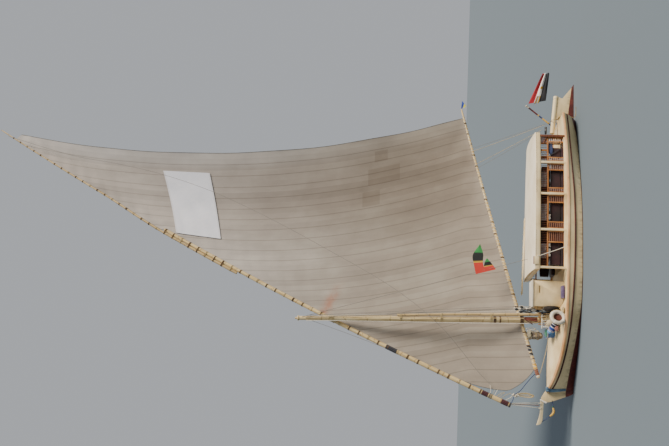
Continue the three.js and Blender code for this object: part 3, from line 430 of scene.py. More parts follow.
@contextlib.contextmanager
def opened(mesh):
    """The mesh opened for changes, which are written back afterwards."""
    shape = bmesh.new()
    shape.from_mesh(mesh)
    yield shape
    shape.to_mesh(mesh)
    shape.free()


def solid_copy(node, bevel):
    """A plain solid's mesh with its loose triangles merged, its flats made whole and its edges eased."""
    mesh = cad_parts[node].data.copy()
    with opened(mesh) as shape:
        bmesh.ops.remove_doubles(shape, verts=shape.verts, dist=2e-5)
        bmesh.ops.dissolve_limit(shape, angle_limit=math.radians(1), verts=shape.verts, edges=shape.edges)
    for attribute in [a.name for a in mesh.attributes if a.name == "custom_normal"]:
        mesh.attributes.remove(mesh.attributes[attribute])
    settings = {"width": bevel, "segments": 2, "limit_method": "ANGLE", "angle_limit": math.radians(30)}
    return modified(mesh, ("BEVEL", settings))


def eased(node, word, finish, slot, bevel, body="hull"):
    """A node's own shape with eased edges and a finish. The piece's name is the node's and a word."""
    piece(f"{node}_{word}", solid_copy(node, bevel), finish, body, [node], slot)


# %% [markdown]
# Poles, ropes and hoops are all one shape: a round section swept along a line of points. The frame
# at each point is carried on from the one before it, so the section doesn't twist on the way.

# %% Sweeps
def run_along(points):
    """How far along a line of points each of them lies."""
    return np.concatenate([[0], np.cumsum(np.linalg.norm(np.diff(np.asarray(points), axis=0), axis=1))])


def carried_frames(points, closed):
    """Directions along, across and up at each point, carried along without twist."""
    ahead_of = np.roll(points, -1, 0) - np.roll(points, 1, 0)
    if not closed:
        ahead_of[0], ahead_of[-1] = points[1] - points[0], points[-1] - points[-2]
    along = ahead_of / np.linalg.norm(ahead_of, axis=1)[:, None]
    guide = np.array([0, 1.0, 0]) if abs(along[0][1]) < 0.9 else np.array([0, 0, 1.0])
    side = guide - along[0] * guide.dot(along[0])
    sides = [side / np.linalg.norm(side)]
    for direction in along[1:]:
        side = sides[-1] - direction * sides[-1].dot(direction)
        sides.append(side / np.linalg.norm(side))
    across_all = np.array(sides)
    return along, across_all, np.cross(along, across_all)


def tube_faces(rings, sides, closed, lengths):
    """Faces and UVs of rings of points, one after the other, with a cap at each end of an open tube."""
    faces, uvs = [], []
    for i in range(rings if closed else rings - 1):
        low, high = i * sides, (i + 1) % rings * sides
        for k in range(sides):
            n = (k + 1) % sides
            faces.append((low + k, low + n, high + n, high + k))
            u0, u1 = k / sides, (k + 1) / sides
            uvs += [(u0, lengths[i]), (u1, lengths[i]), (u1, lengths[i + 1]), (u0, lengths[i + 1])]
    if not closed:
        for end, order in ((0, -1), (rings - 1, 1)):
            faces.append(tuple(end * sides + k for k in range(sides))[::order])
            uvs += [(0.5, lengths[end])] * sides
    return faces, uvs


def row_faces(rows, size, uv, closed=True):
    """Faces and UVs of rows of points, one after the other; uv knows a point's from its row and place."""
    faces, uvs = [], []
    for r in range(rows - 1):
        for i in range(size if closed else size - 1):
            n = (i + 1) % size
            faces.append((r * size + i, (r + 1) * size + i, (r + 1) * size + n, r * size + n))
            uvs += [uv(r, i), uv(r + 1, i), uv(r + 1, i + 1), uv(r, i + 1)]
    return faces, uvs


def swept(points, radii, sides=12, closed=False):
    """A round section along points. U runs round it, and V is the length along it in metres."""
    points = np.asarray(points, float)
    radii = np.broadcast_to(np.asarray(radii, float), len(points))
    along, across_all, up_all = carried_frames(points, closed)
    angle = np.arange(sides) * 2 * math.pi / sides
    ring = (across_all[:, None] * np.cos(angle)[None, :, None]
            + up_all[:, None] * np.sin(angle)[None, :, None]) * radii[:, None, None]
    verts = (points[:, None] + ring).reshape(-1, 3)
    lengths = run_along(points)
    if closed:
        lengths = np.append(lengths, lengths[-1] + np.linalg.norm(points[0] - points[-1]))
    return mesh_of(verts, *tube_faces(len(points), sides, closed, lengths))


def smooth_path(points, step):
    """A smooth curve through points (centripetal Catmull-Rom), at even steps."""
    points = [np.asarray(p, float) for p in points]
    points = [2 * points[0] - points[1]] + points + [2 * points[-1] - points[-2]]
    fine = []
    for a, b, c, d in zip(points, points[1:], points[2:], points[3:]):
        spans = [max(np.linalg.norm(q - p), 1e-6) ** 0.5 for p, q in ((a, b), (b, c), (c, d))]
        t0, t1, t2, t3 = np.cumsum([0] + spans)
        for t in np.linspace(t1, t2, 12, endpoint=False):
            ab = (a * (t1 - t) + b * (t - t0)) / (t1 - t0)
            bc = (b * (t2 - t) + c * (t - t1)) / (t2 - t1)
            cd = (c * (t3 - t) + d * (t - t2)) / (t3 - t2)
            abc = (ab * (t2 - t) + bc * (t - t0)) / (t2 - t0)
            bcd = (bc * (t3 - t) + cd * (t - t1)) / (t3 - t1)
            fine.append((abc * (t2 - t) + bcd * (t - t1)) / (t2 - t1))
    fine = np.array(fine + [points[-2]])
    lengths = run_along(fine)
    count = max(int(round(lengths[-1] / step)), 2)
    places = np.linspace(0, lengths[-1], count + 1)
    return np.stack([np.interp(places, lengths, fine[:, k]) for k in range(3)], 1)


def sagging(start, end, sag, steps=16):
    """A line between two points that hangs down by sag in its middle."""
    t = np.linspace(0, 1, steps + 1)[:, None]
    path = np.asarray(start, float) * (1 - t) + np.asarray(end, float) * t
    path[:, 2] -= (4 * t * (1 - t) * sag)[:, 0]
    return path


def ring_round(middle, across, up, steps):
    """A closed ring of points round a middle: across and up are its half axes."""
    middle, across, up = (np.asarray(v, float) for v in (middle, across, up))
    return [middle + across * math.cos(a) + up * math.sin(a) for a in np.linspace(0, 2 * math.pi, steps)]


def line(name, path, diameter, finish, body, sides=8, slot="rope", stands_for=()):
    return piece(name, swept(path, diameter / 2, sides), finish, body, stands_for, slot)


# %% [markdown]
# What repeats is grown with Geometry Nodes: the louvres' slats and bars, and hundreds of short ropes.
# A small tree reads a plain starting shape, builds on it, makes that real and gives it its finish.

# %% Geometry Nodes
class Growth:
    """A Geometry Nodes tree with named inputs, ready to be grown on a starting mesh."""

    def __init__(self, name, **sizes):
        self.tree = bpy.data.node_groups.new(name, "GeometryNodeTree")
        self.tree.interface.new_socket("Start", in_out="INPUT", socket_type="NodeSocketGeometry")
        self.sockets = {}
        for key, kind in sizes.items():
            made = self.tree.interface.new_socket(key, in_out="INPUT", socket_type=kind)
            self.sockets[key] = made.identifier
        self.tree.interface.new_socket("Grown", in_out="OUTPUT", socket_type="NodeSocketGeometry")
        self.inputs = self.tree.nodes.new("NodeGroupInput").outputs
        self.end = self.tree.nodes.new("NodeGroupOutput")

    def add(self, kind, settings=None, inputs=None):
        return add_node(self.tree, kind, settings, inputs)

    def close(self, geometry):
        """Makes the copies real and sets their finish, which comes in as the input Finish."""
        real = self.add("GeometryNodeRealizeInstances", None, {0: geometry})
        finished = self.add("GeometryNodeSetMaterial", None,
                            {"Geometry": real.outputs[0], "Material": self.inputs["Finish"]})
        self.tree.links.new(finished.outputs[0], self.end.inputs[0])

    def grow(self, start, **values):
        """The mesh that grows from a starting mesh with these sizes."""
        holder = added("start", start)
        made = holder.modifiers.new("growth", "NODES")
        made.node_group = self.tree
        for key, value in values.items():
            made[self.sockets[key]] = value
        mesh = evaluated(holder)
        print("grown", self.tree.name, len(mesh.polygons), "faces")
        return mesh


def edges_of(polylines, **attributes):
    """A mesh of bare edges along polylines, with one number for each polyline as an attribute."""
    points, edges = [], []
    values = {key: [] for key in attributes}
    for index, polyline in enumerate(polylines):
        first = len(points)
        points += [tuple(p) for p in polyline]
        edges += [(first + i, first + i + 1) for i in range(len(polyline) - 1)]
        for key, numbers in attributes.items():
            values[key] += [numbers[index]] * len(polyline)
    mesh = bpy.data.meshes.new("edges")
    mesh.from_pydata(points, edges, [])
    for key, numbers in values.items():
        mesh.attributes.new(key, "FLOAT", "POINT").data.foreach_set("value", numbers)
    return mesh


# %% [markdown]
# Three ropes hang free: the dark blue pendant under the beak, a stern line that goes over the
# rudder's log and trails on the water, and a white rope from the roof's edge to the side deck. Each
# has one length, so its route is a smooth curve and its length is measured along it.

# %% Free ropes
def length_of(path):
    return float(np.linalg.norm(np.diff(path, axis=0), axis=1).sum())


def knot(center, size, thickness, turned=(0, 0, 0)):
    """A round knot: rope that passes through itself three times."""
    t = np.linspace(0, 2 * math.pi, 42, endpoint=False)
    loop = np.stack([np.sin(t) + 2 * np.sin(2 * t), np.cos(t) - 2 * np.cos(2 * t), -np.sin(3 * t)], 1)
    turn = Matrix.Rotation(turned[1], 3, "Y") @ Matrix.Rotation(turned[0], 3, "X")
    turn = Matrix.Rotation(turned[2], 3, "Z") @ turn
    return swept(loop * size / 3 @ np.array(turn).T + np.asarray(center), thickness / 2, 6, closed=True)


PENDANT_ROUTE = [(6.947, 0, 1.214), (6.935, 0, 1.180), (6.880, 0, 1.095), (6.800, 0, 0.990),
                 (6.725, 0, 0.890), (6.640, 0, 0.795), (6.537, 0, 0.745), (6.440, 0, 0.760),
                 (6.389, 0, 0.780), (6.300, 0, 0.792), (6.230, 0, 0.795), (6.170, 0, 0.797),
                 (6.138, 0, 0.7975)]
PENDANT_DIAMETER = 0.028
pendant_path = smooth_path(PENDANT_ROUTE, 0.03)
pendant = line("bow_pendant_rope", pendant_path, PENDANT_DIAMETER, NAVY_ROPE, "hull", 10, "navy_rope",
               ["bow_pendant"])
WRAP_ROUTE = [(6.725, 0, 0.890), (6.640, 0, 0.795), (6.537, 0, 0.745), (6.440, 0, 0.760), (6.389, 0, 0.780)]
wrap_path = smooth_path(WRAP_ROUTE, 0.006)
swell = np.sin(np.linspace(0.35, math.pi - 0.35, len(wrap_path))) ** 0.5
wrap_turns = 0.003 * np.abs(np.sin(np.arange(len(wrap_path)) * 0.9))
pendant_wrap = piece("pendant_orange_wrap", swept(wrap_path, 0.046 * swell + wrap_turns, 16), YELLOW_WRAP,
                     "hull", ["pendant_wrap"], "orange_wrap")
green_path = smooth_path([(6.405, 0, 0.7735), (6.365, 0, 0.785), (6.325, 0, 0.790)], 0.008)
tassel_end = piece("pendant_green_end", swept(green_path, 0.027, 12), GREEN_CLOTH, "hull", slot="blue_cloth")

STERN_LINE_ROUTE = [(-5.560, -0.404, 1.022), (-5.530, -0.300, 0.985), (-5.500, -0.150, 0.959),
                    (-5.482, 0, 0.949), (-5.466, 0.130, 0.941), (-5.450, 0.260, 0.893),
                    (-5.434, 0.390, 0.785), (-5.422, 0.480, 0.702), (-5.428, 0.540, 0.650),
                    (-5.437, 0.570, 0.570), (-5.437, 0.585, 0.400), (-5.437, 0.590, 0.220),
                    (-5.450, 0.594, 0.110), (-5.500, 0.598, 0.040), (-5.590, 0.605, 0.014),
                    (-5.720, 0.615, 0.0124), (-5.890, 0.640, 0.0124)]
STERN_LINE_DIAMETER = 0.024
stern_path = smooth_path(STERN_LINE_ROUTE, 0.03)
stern_line = line("stern_line_rope", stern_path, STERN_LINE_DIAMETER, OLD_ROPE, "hull", 10, "rope",
                  ["stern_line"])
stern_knot = piece("stern_line_end_knot", knot((-5.885, 0.640, 0.024), 0.02, 0.014), ROPE, "hull")

CURTAIN_ROPE_ROUTE = [(0.668, 1.8266, 1.662), (0.664, 1.827, 1.610), (0.606, 1.838, 1.446),
                      (0.527, 1.852, 1.240), (0.442, 1.868, 1.020), (0.360, 1.885, 0.815),
                      (0.290, 1.900, 0.660), (0.240, 1.912, 0.585), (0.180, 1.920, 0.562),
                      (0.060, 1.930, 0.5605)]
CURTAIN_ROPE_DIAMETER = 0.028
curtain_path = smooth_path(CURTAIN_ROPE_ROUTE, 0.03)
curtain_rope = line("roof_edge_rope", curtain_path, CURTAIN_ROPE_DIAMETER, WHITE_ROPE, "hull", 10, "rope",
                    ["curtain_rope"])
roof_rope_knot = piece("roof_edge_rope_knot", knot((0.06, 1.93, 0.572), 0.024, 0.016), WHITE_ROPE, "hull")
for name, path in (("pendant", pendant_path), ("stern line", stern_path), ("roof rope", curtain_path)):
    print(name, "length", round(length_of(path), 3))


# %% [markdown]
# The boat floats on a plain grey floor that lies at the water's height, under an even sky and one
# large soft sun that stands high off the port quarter, as it does in the picture.

# %% Floor and light
FLOOR_HALF = 120.0
floor_finish = Finish("plain_grey_floor", 0.95)
floor_finish.shader.inputs["Base Color"].default_value = linear("#68757f")
corners = [(-FLOOR_HALF, -FLOOR_HALF, 0), (FLOOR_HALF, -FLOOR_HALF, 0), (FLOOR_HALF, FLOOR_HALF, 0),
           (-FLOOR_HALF, FLOOR_HALF, 0)]
floor = added("floor", mesh_of(corners, [(0, 1, 2, 3)]))
floor.data.materials.append(floor_finish.material)

world = bpy.data.worlds.new("even_sky")
world.use_nodes = True
world.node_tree.nodes["Background"].inputs["Color"].default_value = linear("#e4e8ee")
world.node_tree.nodes["Background"].inputs["Strength"].default_value = 0.56
bpy.context.scene.world = world

SUN_FROM = Vector((-0.68, 0.50, 0.85))
sun = added("sun", bpy.data.lights.new("sun", "SUN"))
sun.data.energy = 5.6
sun.data.angle = math.radians(26)
sun.data.color = (1.0, 0.90, 0.76)
sun.rotation_euler = SUN_FROM.to_track_quat("Z", "Y").to_euler()


# %% [markdown]
# The hull is carvel planking, painted over. Its shape follows a rule: at each station a round bilge
# runs from the keel to the water, flared topsides run on to the rail, and the deck is crowned. So one
# loft through many stations makes it, and every strip along the side reads the same measures.

# %% Hull measures
# x, bottom on the centreline, half-breadth at the water, roundness of the bilge,
# half-breadth and height at the rail, height of the deck's crown, height of the rub strake
STATIONS = np.array([
    (5.800, -0.480, 0.042, 1.2, 0.058, 0.985, 1.000, 0.905),
    (5.500, -0.505, 0.205, 1.3, 0.470, 0.880, 1.022, 0.765),
    (5.000, -0.520, 0.520, 1.4, 0.880, 0.740, 1.020, 0.620),
    (4.100, -0.540, 1.110, 1.6, 1.440, 0.590, 0.975, 0.475),
    (3.200, -0.550, 1.600, 1.9, 1.850, 0.545, 0.940, 0.392),
    (2.700, -0.555, 1.820, 2.1, 1.990, 0.542, 0.925, 0.368),
    (2.300, -0.560, 1.960, 2.3, 2.075, 0.545, 0.600, 0.352),
    (1.100, -0.570, 2.115, 2.6, 2.185, 0.545, 0.590, 0.312),
    (-0.300, -0.570, 2.110, 2.7, 2.190, 0.535, 0.580, 0.290),
    (-1.700, -0.555, 1.930, 2.5, 2.085, 0.525, 0.572, 0.303),
    (-2.900, -0.520, 1.560, 2.1, 1.900, 0.535, 0.580, 0.352),
    (-4.000, -0.450, 1.110, 1.8, 1.690, 0.555, 0.600, 0.405),
    (-4.800, -0.360, 0.720, 1.6, 1.500, 0.590, 0.632, 0.440),
    (-5.400, -0.250, 0.380, 1.5, 1.330, 0.625, 0.665, 0.468),
])
STEM_X, STERN_X = STATIONS[0][0], STATIONS[-1][0]
slopes = np.diff(STATIONS[:, 1:], axis=0) / np.diff(STATIONS[:, 0])[:, None]
before, after = slopes[:-1], slopes[1:]
with np.errstate(divide="ignore", invalid="ignore"):
    inner_bends = np.where(before * after <= 0, 0, 2 * before * after / (before + after))
BENDS = np.vstack([slopes[:1], inner_bends, slopes[-1:]])


def hull_at(x):
    """Bottom, half-breadth at the water, roundness, rail's half-breadth and height, crown and strake at x."""
    i = min(max(int(np.argmax(STATIONS[:, 0] <= x + 1e-9)), 1), len(STATIONS) - 1)
    start, end = STATIONS[i - 1], STATIONS[i]
    width = end[0] - start[0]
    t = (x - start[0]) / width
    rise = end[1:] - start[1:]
    p, q = BENDS[i - 1] * width, BENDS[i] * width
    return start[1:] + t * (p + t * (3 * rise - 2 * p - q + t * (p + q - 2 * rise)))


def smooth(value, low, high):
    """0 below low, 1 above high, smooth between."""
    t = min(max((value - low) / (high - low), 0), 1)
    return t * t * (3 - 2 * t)


WATER_LEAN = 0.1


def bow_lean(x, z):
    """How far a point near the bow is moved: the planks' fore end leans aft towards the keel."""
    over = -WATER_LEAN * (1 - min(z, 1)) ** 3
    under = 0.3 * z - 1.1 * z * z - WATER_LEAN
    return smooth(x, 4.2, STEM_X) * (over if z > 0 else under)


def side_y(at, z):
    """Half-breadth of the topsides at a height."""
    t = z / at[4]
    return at[1] + (at[3] - at[1]) * (1.4 * t - 0.4 * t * t)


def deck_z(at, y):
    return at[5] - (at[5] - at[4]) * (y / at[3]) ** 2


# %% [markdown]
# The hull's paint: sand-coloured topsides over a dark red bottom. The red climbs at the bow and the
# quarters, where the hull lifts, and wet grime marks the planks just above it.

# %% Hull paint
def hull_paint(name, seams):
    finish = Finish(name, 0.5)
    x, y, z = finish.split(finish.object)
    bow = finish.times(finish.step(x, 2.0, 5.95), 0.27)
    stern = finish.times(finish.opposite(finish.step(x, -5.6, -4.4)), 0.20)
    blade = finish.times(finish.opposite(finish.step(x, -7.3, -5.6)), -0.15)
    red_edge = finish.plus(finish.plus(bow, stern), finish.plus(blade, 0.03))
    wander = finish.noise(finish.object, 0.5, 2)
    red_edge = finish.plus(red_edge, finish.times(finish.minus(wander, 0.5), 0.02))
    over = finish.minus(z, red_edge)
    patches = finish.noise(finish.object, 1.1, 5)
    brush = finish.noise(finish.stretched(finish.object, (1, 9, 9)), 0.15, 3)
    topsides = finish.ramp(patches, (0.3, "#c7b083"), (0.5, "#d9c497"), (0.72, "#e6d5ad"))
    topsides = finish.mix(finish.step(brush, 0.6, 0.85), topsides, linear("#e9dab6"))
    streaks = finish.noise(finish.stretched(finish.object, (7, 7, 0.8)), 0.6, 5, 0.65)
    low = finish.opposite(finish.step(over, 0.0, 0.22))
    grime = finish.times(finish.step(streaks, 0.42, 0.7), finish.times(low, 0.75))
    topsides = finish.mix(grime, topsides, linear("#8d7c5e"))
    bottom = finish.ramp(streaks, (0.3, "#3d1613"), (0.5, "#5c231d"), (0.72, "#7a3a2d"))
    slime = finish.opposite(finish.step(z, 0.01, 0.07))
    bottom = finish.mix(finish.times(slime, 0.5), bottom, linear("#2c211b"))
    color = finish.mix(finish.step(over, -0.006, 0.006), bottom, topsides)
    height = finish.times(brush, 0.3)
    if seams:
        u, v, w = finish.split(finish.uv)
        seam = finish.step(finish.math("PINGPONG", v, 0.075), 0.001, 0.006)
        color = finish.darker(color, finish.opposite(seam), 0.22, "#8a7450")
        height = finish.plus(finish.times(seam, 0.6), height)
    return finish.done(color, height, 0.003, 0.5)


HULL_PAINT = hull_paint("oil_paint_on_hull_planking", True)
POST_PAINT = hull_paint("oil_paint_on_stem_and_rudder", False)

# %% [markdown]
# The loft's rings run down from the rail to the keel and up the other side, then across the deck. The
# deck's faces take their own paint, and the well that the seats face is cut out of the closed shape.

# %% Hull
BILGE_STEPS, SIDE_STEPS, DECK_STEPS = 18, 8, 12


def hull_ring(x):
    at = hull_at(x)
    half = []
    for angle in np.linspace(0, math.pi / 2, BILGE_STEPS + 1):
        half.append((at[1] * math.sin(angle) ** (2 / at[2]), at[0] * max(math.cos(angle), 0) ** (2 / at[2])))
    for t in np.arange(1, SIDE_STEPS + 1) / SIDE_STEPS:
        half.append((side_y(at, t * at[4]), t * at[4]))
    for t in np.arange(1, DECK_STEPS + 1) / DECK_STEPS:
        y = at[3] * (1 - t)
        half.append((y, deck_z(at, y)))
    ring = half + [(-y, z) for y, z in half[-2:0:-1]]
    return [(x + bow_lean(x, z), y, z) for y, z in ring]


def lofted(rings, u_values):
    """A skin through closed rings, with closed ends. U is given for each ring, V is the girth in metres."""
    count, size = len(rings), len(rings[0])
    points = [p for ring in rings for p in ring]
    girths = [run_along(list(ring) + [ring[0]]) for ring in rings]
    faces, uvs = row_faces(count, size, lambda r, i: (u_values[r], girths[r][i]))
    for r, order in ((0, 1), (count - 1, -1)):
        faces.append(tuple(r * size + i for i in range(size))[::order])
        uvs += [(u_values[r], girths[r][i]) for i in range(size)][::order]
    return facing_out(mesh_of(points, faces, uvs))


def facing_out(mesh):
    """The same mesh with its faces outwards, which its signed volume tells."""
    with opened(mesh) as shape:
        if shape.calc_volume(signed=True) < 0:
            bmesh.ops.reverse_faces(shape, faces=shape.faces)
    return mesh


def block(low, high):
    """A plain box, for cutting with or for easing later."""
    (x0, y0, z0), (x1, y1, z1) = low, high
    points = [(x, y, z) for x in (x0, x1) for y in (y0, y1) for z in (z0, z1)]
    faces = [(0, 1, 3, 2), (4, 6, 7, 5), (0, 4, 5, 1), (2, 3, 7, 6), (0, 2, 6, 4), (1, 5, 7, 3)]
    return mesh_of(points, faces)


def cut_by(mesh, cutter):
    """The mesh less the cutter."""
    tool = added("cutter", cutter)
    mesh = modified(mesh, ("BOOLEAN", {"operation": "DIFFERENCE", "solver": "EXACT", "object": tool}))
    bpy.data.objects.remove(tool)
    return mesh


STATION_PITCH = 0.08
hull_stations = np.linspace(STEM_X, STERN_X, int(round((STEM_X - STERN_X) / STATION_PITCH)) + 1)
hull_mesh = lofted([hull_ring(x) for x in hull_stations], hull_stations)
hull_mesh.materials.append(HULL_PAINT)
hull_mesh.materials.append(CREAM)
for face in hull_mesh.polygons:
    x, y, z = face.center
    if len(face.vertices) == 4 and z > hull_at(min(max(x - bow_lean(x, z), STERN_X), STEM_X))[4] - 0.02:
        face.material_index = 1 if face.normal.z > 0.5 else 0
WELL = block((-3.7, -0.85, 0.08), (1.0, 0.85, 0.9))
WELL.materials.append(CREAM)
hull_mesh = cut_by(hull_mesh, WELL)
piece("hull_planked", hull_mesh, None, "hull", ["hull_planking"], "cream_paint")
print("hull", len(hull_mesh.polygons), "faces")

# %% [markdown]
# A dark red strake and a capping rail run along each side. Each is a strip with a rounded section,
# lofted through the same stations so that it lies against the planks. The starboard one is mirrored.

# %% Strake and cap rail
def strip_along(section):
    """A strip along the port side: section gives its outline, (y, z) points, from the hull's measures."""
    return lofted([[(x + bow_lean(x, z), y, z) for y, z in section(hull_at(x))] for x in hull_stations],
                  hull_stations)


def mirrored(mesh):
    """The starboard twin of a port mesh."""
    twin = mesh.copy()
    with opened(twin) as shape:
        bmesh.ops.scale(shape, vec=(1, -1, 1), verts=shape.verts)
        bmesh.ops.reverse_faces(shape, faces=shape.faces)
    return twin


def strake_section(at):
    center, half, out = at[6], 0.031, 0.034
    inner = [(side_y(at, center + dz) - 0.006, center + dz) for dz in (-half, half)]
    outer = [(side_y(at, center) + out * k, center + half * dz)
             for k, dz in ((0.35, 1), (0.85, 0.75), (1, 0.3), (1, -0.3), (0.85, -0.75), (0.35, -1))]
    return inner + outer


def rail_section(at):
    top, low, edge = at[4] + 0.042, at[4] - 0.034, at[3] + 0.024
    inner_y = at[3] - min(0.08, at[3] - 0.002)
    inner_z = deck_z(at, inner_y)
    return [(inner_y, inner_z - 0.006), (inner_y, inner_z + 0.030), (inner_y + 0.01, inner_z + 0.042),
            (edge - 0.012, top), (edge, top - 0.012), (edge, low + 0.010), (edge - 0.010, low),
            (at[3] - 0.010, low), (at[3] - 0.010, at[4] - 0.006)]


for side, twin in (("port", lambda mesh: mesh), ("starboard", mirrored)):
    piece(f"rub_strake_{side}_painted", twin(strip_along(strake_section)), DARK_RED, "hull",
          [f"rub_strake_{side}"], "dark_red_paint", 50)
    piece(f"cap_rail_{side}_painted", twin(strip_along(rail_section)), RAIL_PAINT, "hull",
          [f"cap_rail_{side}"], "cream_paint", 30)

# %% [markdown]
# Stem, beak, keel, stern post and the parts of the saloon's frame are sawn timber with softened
# edges. Their plain solids already have the right shape, so each is copied, merged and bevelled.

# %% Timbers
CREAM_PLAIN = oil_paint("oil_paint_cream_on_posts", "#ead5a8", "#cfb687", "#f4e4c0", 0.45, 5.0)
eased("stem_post", "painted", POST_PAINT, "cream_paint", 0.012)
eased("bow_beak", "painted", CREAM_PLAIN, "cream_paint", 0.014)
eased("keel", "painted", POST_PAINT, "dark_red_paint", 0.010)
eased("stern_post", "painted", POST_PAINT, "cream_paint", 0.006)
eased("rudder_blade", "painted", POST_PAINT, "cream_paint", 0.010, "rudder")
eased("mast_partners", "painted", CREAM_PLAIN, "cream_paint", 0.012)

# %% [markdown]
# The tiller is a whole log laid over the rudder, with a turned rim at its aft end. A profile of
# radii along a straight line gives it, and its ends are slightly domed.

# %% Tiller log
LOG_FORE, LOG_AFT = np.array((-4.910, 0, 0.880)), np.array((-6.590, 0, 0.730))
LOG_PROFILE = [(0.0, 0.060), (0.004, 0.080), (0.012, 0.0915), (0.10, 0.0925), (0.30, 0.094), (0.55, 0.0965),
               (0.80, 0.0985), (0.885, 0.0995), (0.900, 0.098), (0.906, 0.088), (0.914, 0.088),
               (0.920, 0.100), (0.930, 0.1035), (0.985, 0.1035), (0.994, 0.098), (1.0, 0.080)]
log_points = [LOG_FORE + (LOG_AFT - LOG_FORE) * t for t, _ in LOG_PROFILE]
LOG_PAINT = pole_finish("oil_paint_cream_on_log", "#cbb384", "#e8d5a9", "#f3e4c2", 3.0)
piece("tiller_log_turned", swept(log_points, [r for _, r in LOG_PROFILE], 32), LOG_PAINT, "rudder",
      ["tiller_log"], "cream_paint")


# %% [markdown]
# The saloon's sides are frames of painted posts with varnished louvre panels behind them. A bay is
# the stretch between two posts. It turns with the hull's curve, so everything in it is placed along
# the bay, outwards from the posts' line, and up.

# %% Saloon bays
POSTS = [(1.090, 1.750), (-0.410, 1.750), (-1.860, 1.740), (-3.170, 1.650), (-4.330, 1.450)]
SILL_Z, RAIL_Z, EAVES_Z = 0.600, 1.270, 1.600
LOUVRE_OUT, LOUVRE_IN = -0.0353, -0.0753
# Louvred panels: bay counted from the bow, then start and end as parts of its length from its aft post
PANELS = [(0, 0.03, 0.34), (1, 0.77, 0.97), (1, 0.03, 0.25), (2, 0.79, 0.96), (2, 0.03, 0.25),
          (3, 0.78, 0.95), (3, 0.03, 0.22)]


class Bay:
    """A stretch of wall from an origin, turned about the vertical."""

    def __init__(self, origin, turn, length):
        self.origin, self.turn, self.length = origin, turn, length

    def place(self, u, v, z):
        c, s = math.cos(self.turn), math.sin(self.turn)
        return (self.origin[0] + u * c - v * s, self.origin[1] + u * s + v * c, z)

    def bar(self, u0, u1, v0, v1, z0, z1):
        """A sawn bar between two corners."""
        mesh = block((u0, v0, z0), (u1, v1, z1))
        for vertex in mesh.vertices:
            vertex.co = self.place(*vertex.co)
        return mesh


bays = []
for fore, aft in zip(POSTS, POSTS[1:]):
    reach = (fore[0] - aft[0], fore[1] - aft[1])
    bays.append(Bay(aft, math.atan2(reach[1], reach[0]), math.hypot(*reach)))
AFT_X = POSTS[4][0]
SCREEN_HALF, DOOR_HALF = POSTS[4][1] - 0.0353, 0.420
screen = Bay((AFT_X, 0.0), math.pi / 2, SCREEN_HALF)


def both_sides(name, mesh, finish, slot, node="", sharp_angle=35):
    """A port piece and its starboard twin, which may stand for the two nodes of a name."""
    for side, half in (("port", mesh), ("starboard", mirrored(mesh))):
        piece(f"{name}_{side}", half, finish, "hull", [f"{node}_{side}"] if node else [], slot, sharp_angle)


def eased_bars(bars, bevel=0.005):
    return modified(joined(*bars), ("BEVEL", {"width": bevel, "segments": 2, "limit_method": "ANGLE"}))


# %% [markdown]
# Each panel is a pair of upright stiles with slats between them. Rails run behind the posts at the
# sill, at the middle and at the eaves, and thin bars fill the strip above the middle rail.

# %% Louvre rails and stiles
rails, stiles = [], []
for index, bay in enumerate(bays):
    start = 0.025 if index == 3 else 0.0
    for low, high in ((SILL_Z, SILL_Z + 0.060), (RAIL_Z - 0.030, RAIL_Z + 0.025), (EAVES_Z - 0.060, EAVES_Z)):
        rails.append(bay.bar(start, bay.length, LOUVRE_IN, LOUVRE_OUT, low, high))
for index, start, end in PANELS:
    bay = bays[index]
    for u in (start * bay.length, end * bay.length - 0.045):
        stiles.append(bay.bar(u, u + 0.045, LOUVRE_IN + 0.002, LOUVRE_OUT + 0.004, SILL_Z + 0.055,
                              RAIL_Z - 0.025))
for start, low, high in ((DOOR_HALF, 0.640, 0.700), (DOOR_HALF, RAIL_Z - 0.030, RAIL_Z + 0.030),
                         (0.0, EAVES_Z - 0.060, EAVES_Z)):
    rails.append(screen.bar(start, SCREEN_HALF, -0.030, 0.030, low, high))
for u in (DOOR_HALF, SCREEN_HALF - 0.060):
    foot = deck_z(hull_at(AFT_X), u + 0.030) - 0.006
    stiles.append(screen.bar(u, u + 0.060, -0.028, 0.028, foot, EAVES_Z - 0.010))
both_sides("louvre_rails", eased_bars(rails), VARNISH_RAIL, "varnished_wood", "louvres")
both_sides("louvre_stiles", eased_bars(stiles), VARNISH_UPRIGHT, "varnished_wood")
post_y = POSTS[4][1]
corner_foot = deck_z(hull_at(AFT_X), post_y) - 0.006
casing = block((AFT_X - 0.047, post_y - 0.031, corner_foot), (AFT_X + 0.047, post_y + 0.047, EAVES_Z - 0.002))
both_sides("corner_post_casing", eased_bars([casing]), VARNISH_SLAT, "varnished_wood")

# %% [markdown]
# Slats and bars repeat by the dozen, so a Geometry Nodes tree puts one rounded slat on every point of
# a bare mesh. Each point says how long its slat is and how it is turned.

# %% Slats
slats_tree = Growth("slats_on_points", Width="NodeSocketFloat", Thickness="NodeSocketFloat",
                    Finish="NodeSocketMaterial")
rod = slats_tree.add("GeometryNodeMeshCylinder", None, {"Vertices": 8, "Radius": 0.5, "Depth": 1.0})
lying = slats_tree.add("GeometryNodeTransform", None,
                       {"Geometry": rod.outputs["Mesh"], "Rotation": (0, math.pi / 2, 0)})
long = slats_tree.add("GeometryNodeInputNamedAttribute", {"data_type": "FLOAT"}, {"Name": "length"})
turn_of = slats_tree.add("GeometryNodeInputNamedAttribute", {"data_type": "FLOAT_VECTOR"}, {"Name": "turned"})
size = slats_tree.add("ShaderNodeCombineXYZ", None, {
    0: long.outputs[0], 1: slats_tree.inputs["Width"], 2: slats_tree.inputs["Thickness"]})
placed = slats_tree.add("GeometryNodeInstanceOnPoints", None, {
    "Points": slats_tree.inputs["Start"], "Instance": lying.outputs[0], "Rotation": turn_of.outputs[0],
    "Scale": size.outputs[0]})
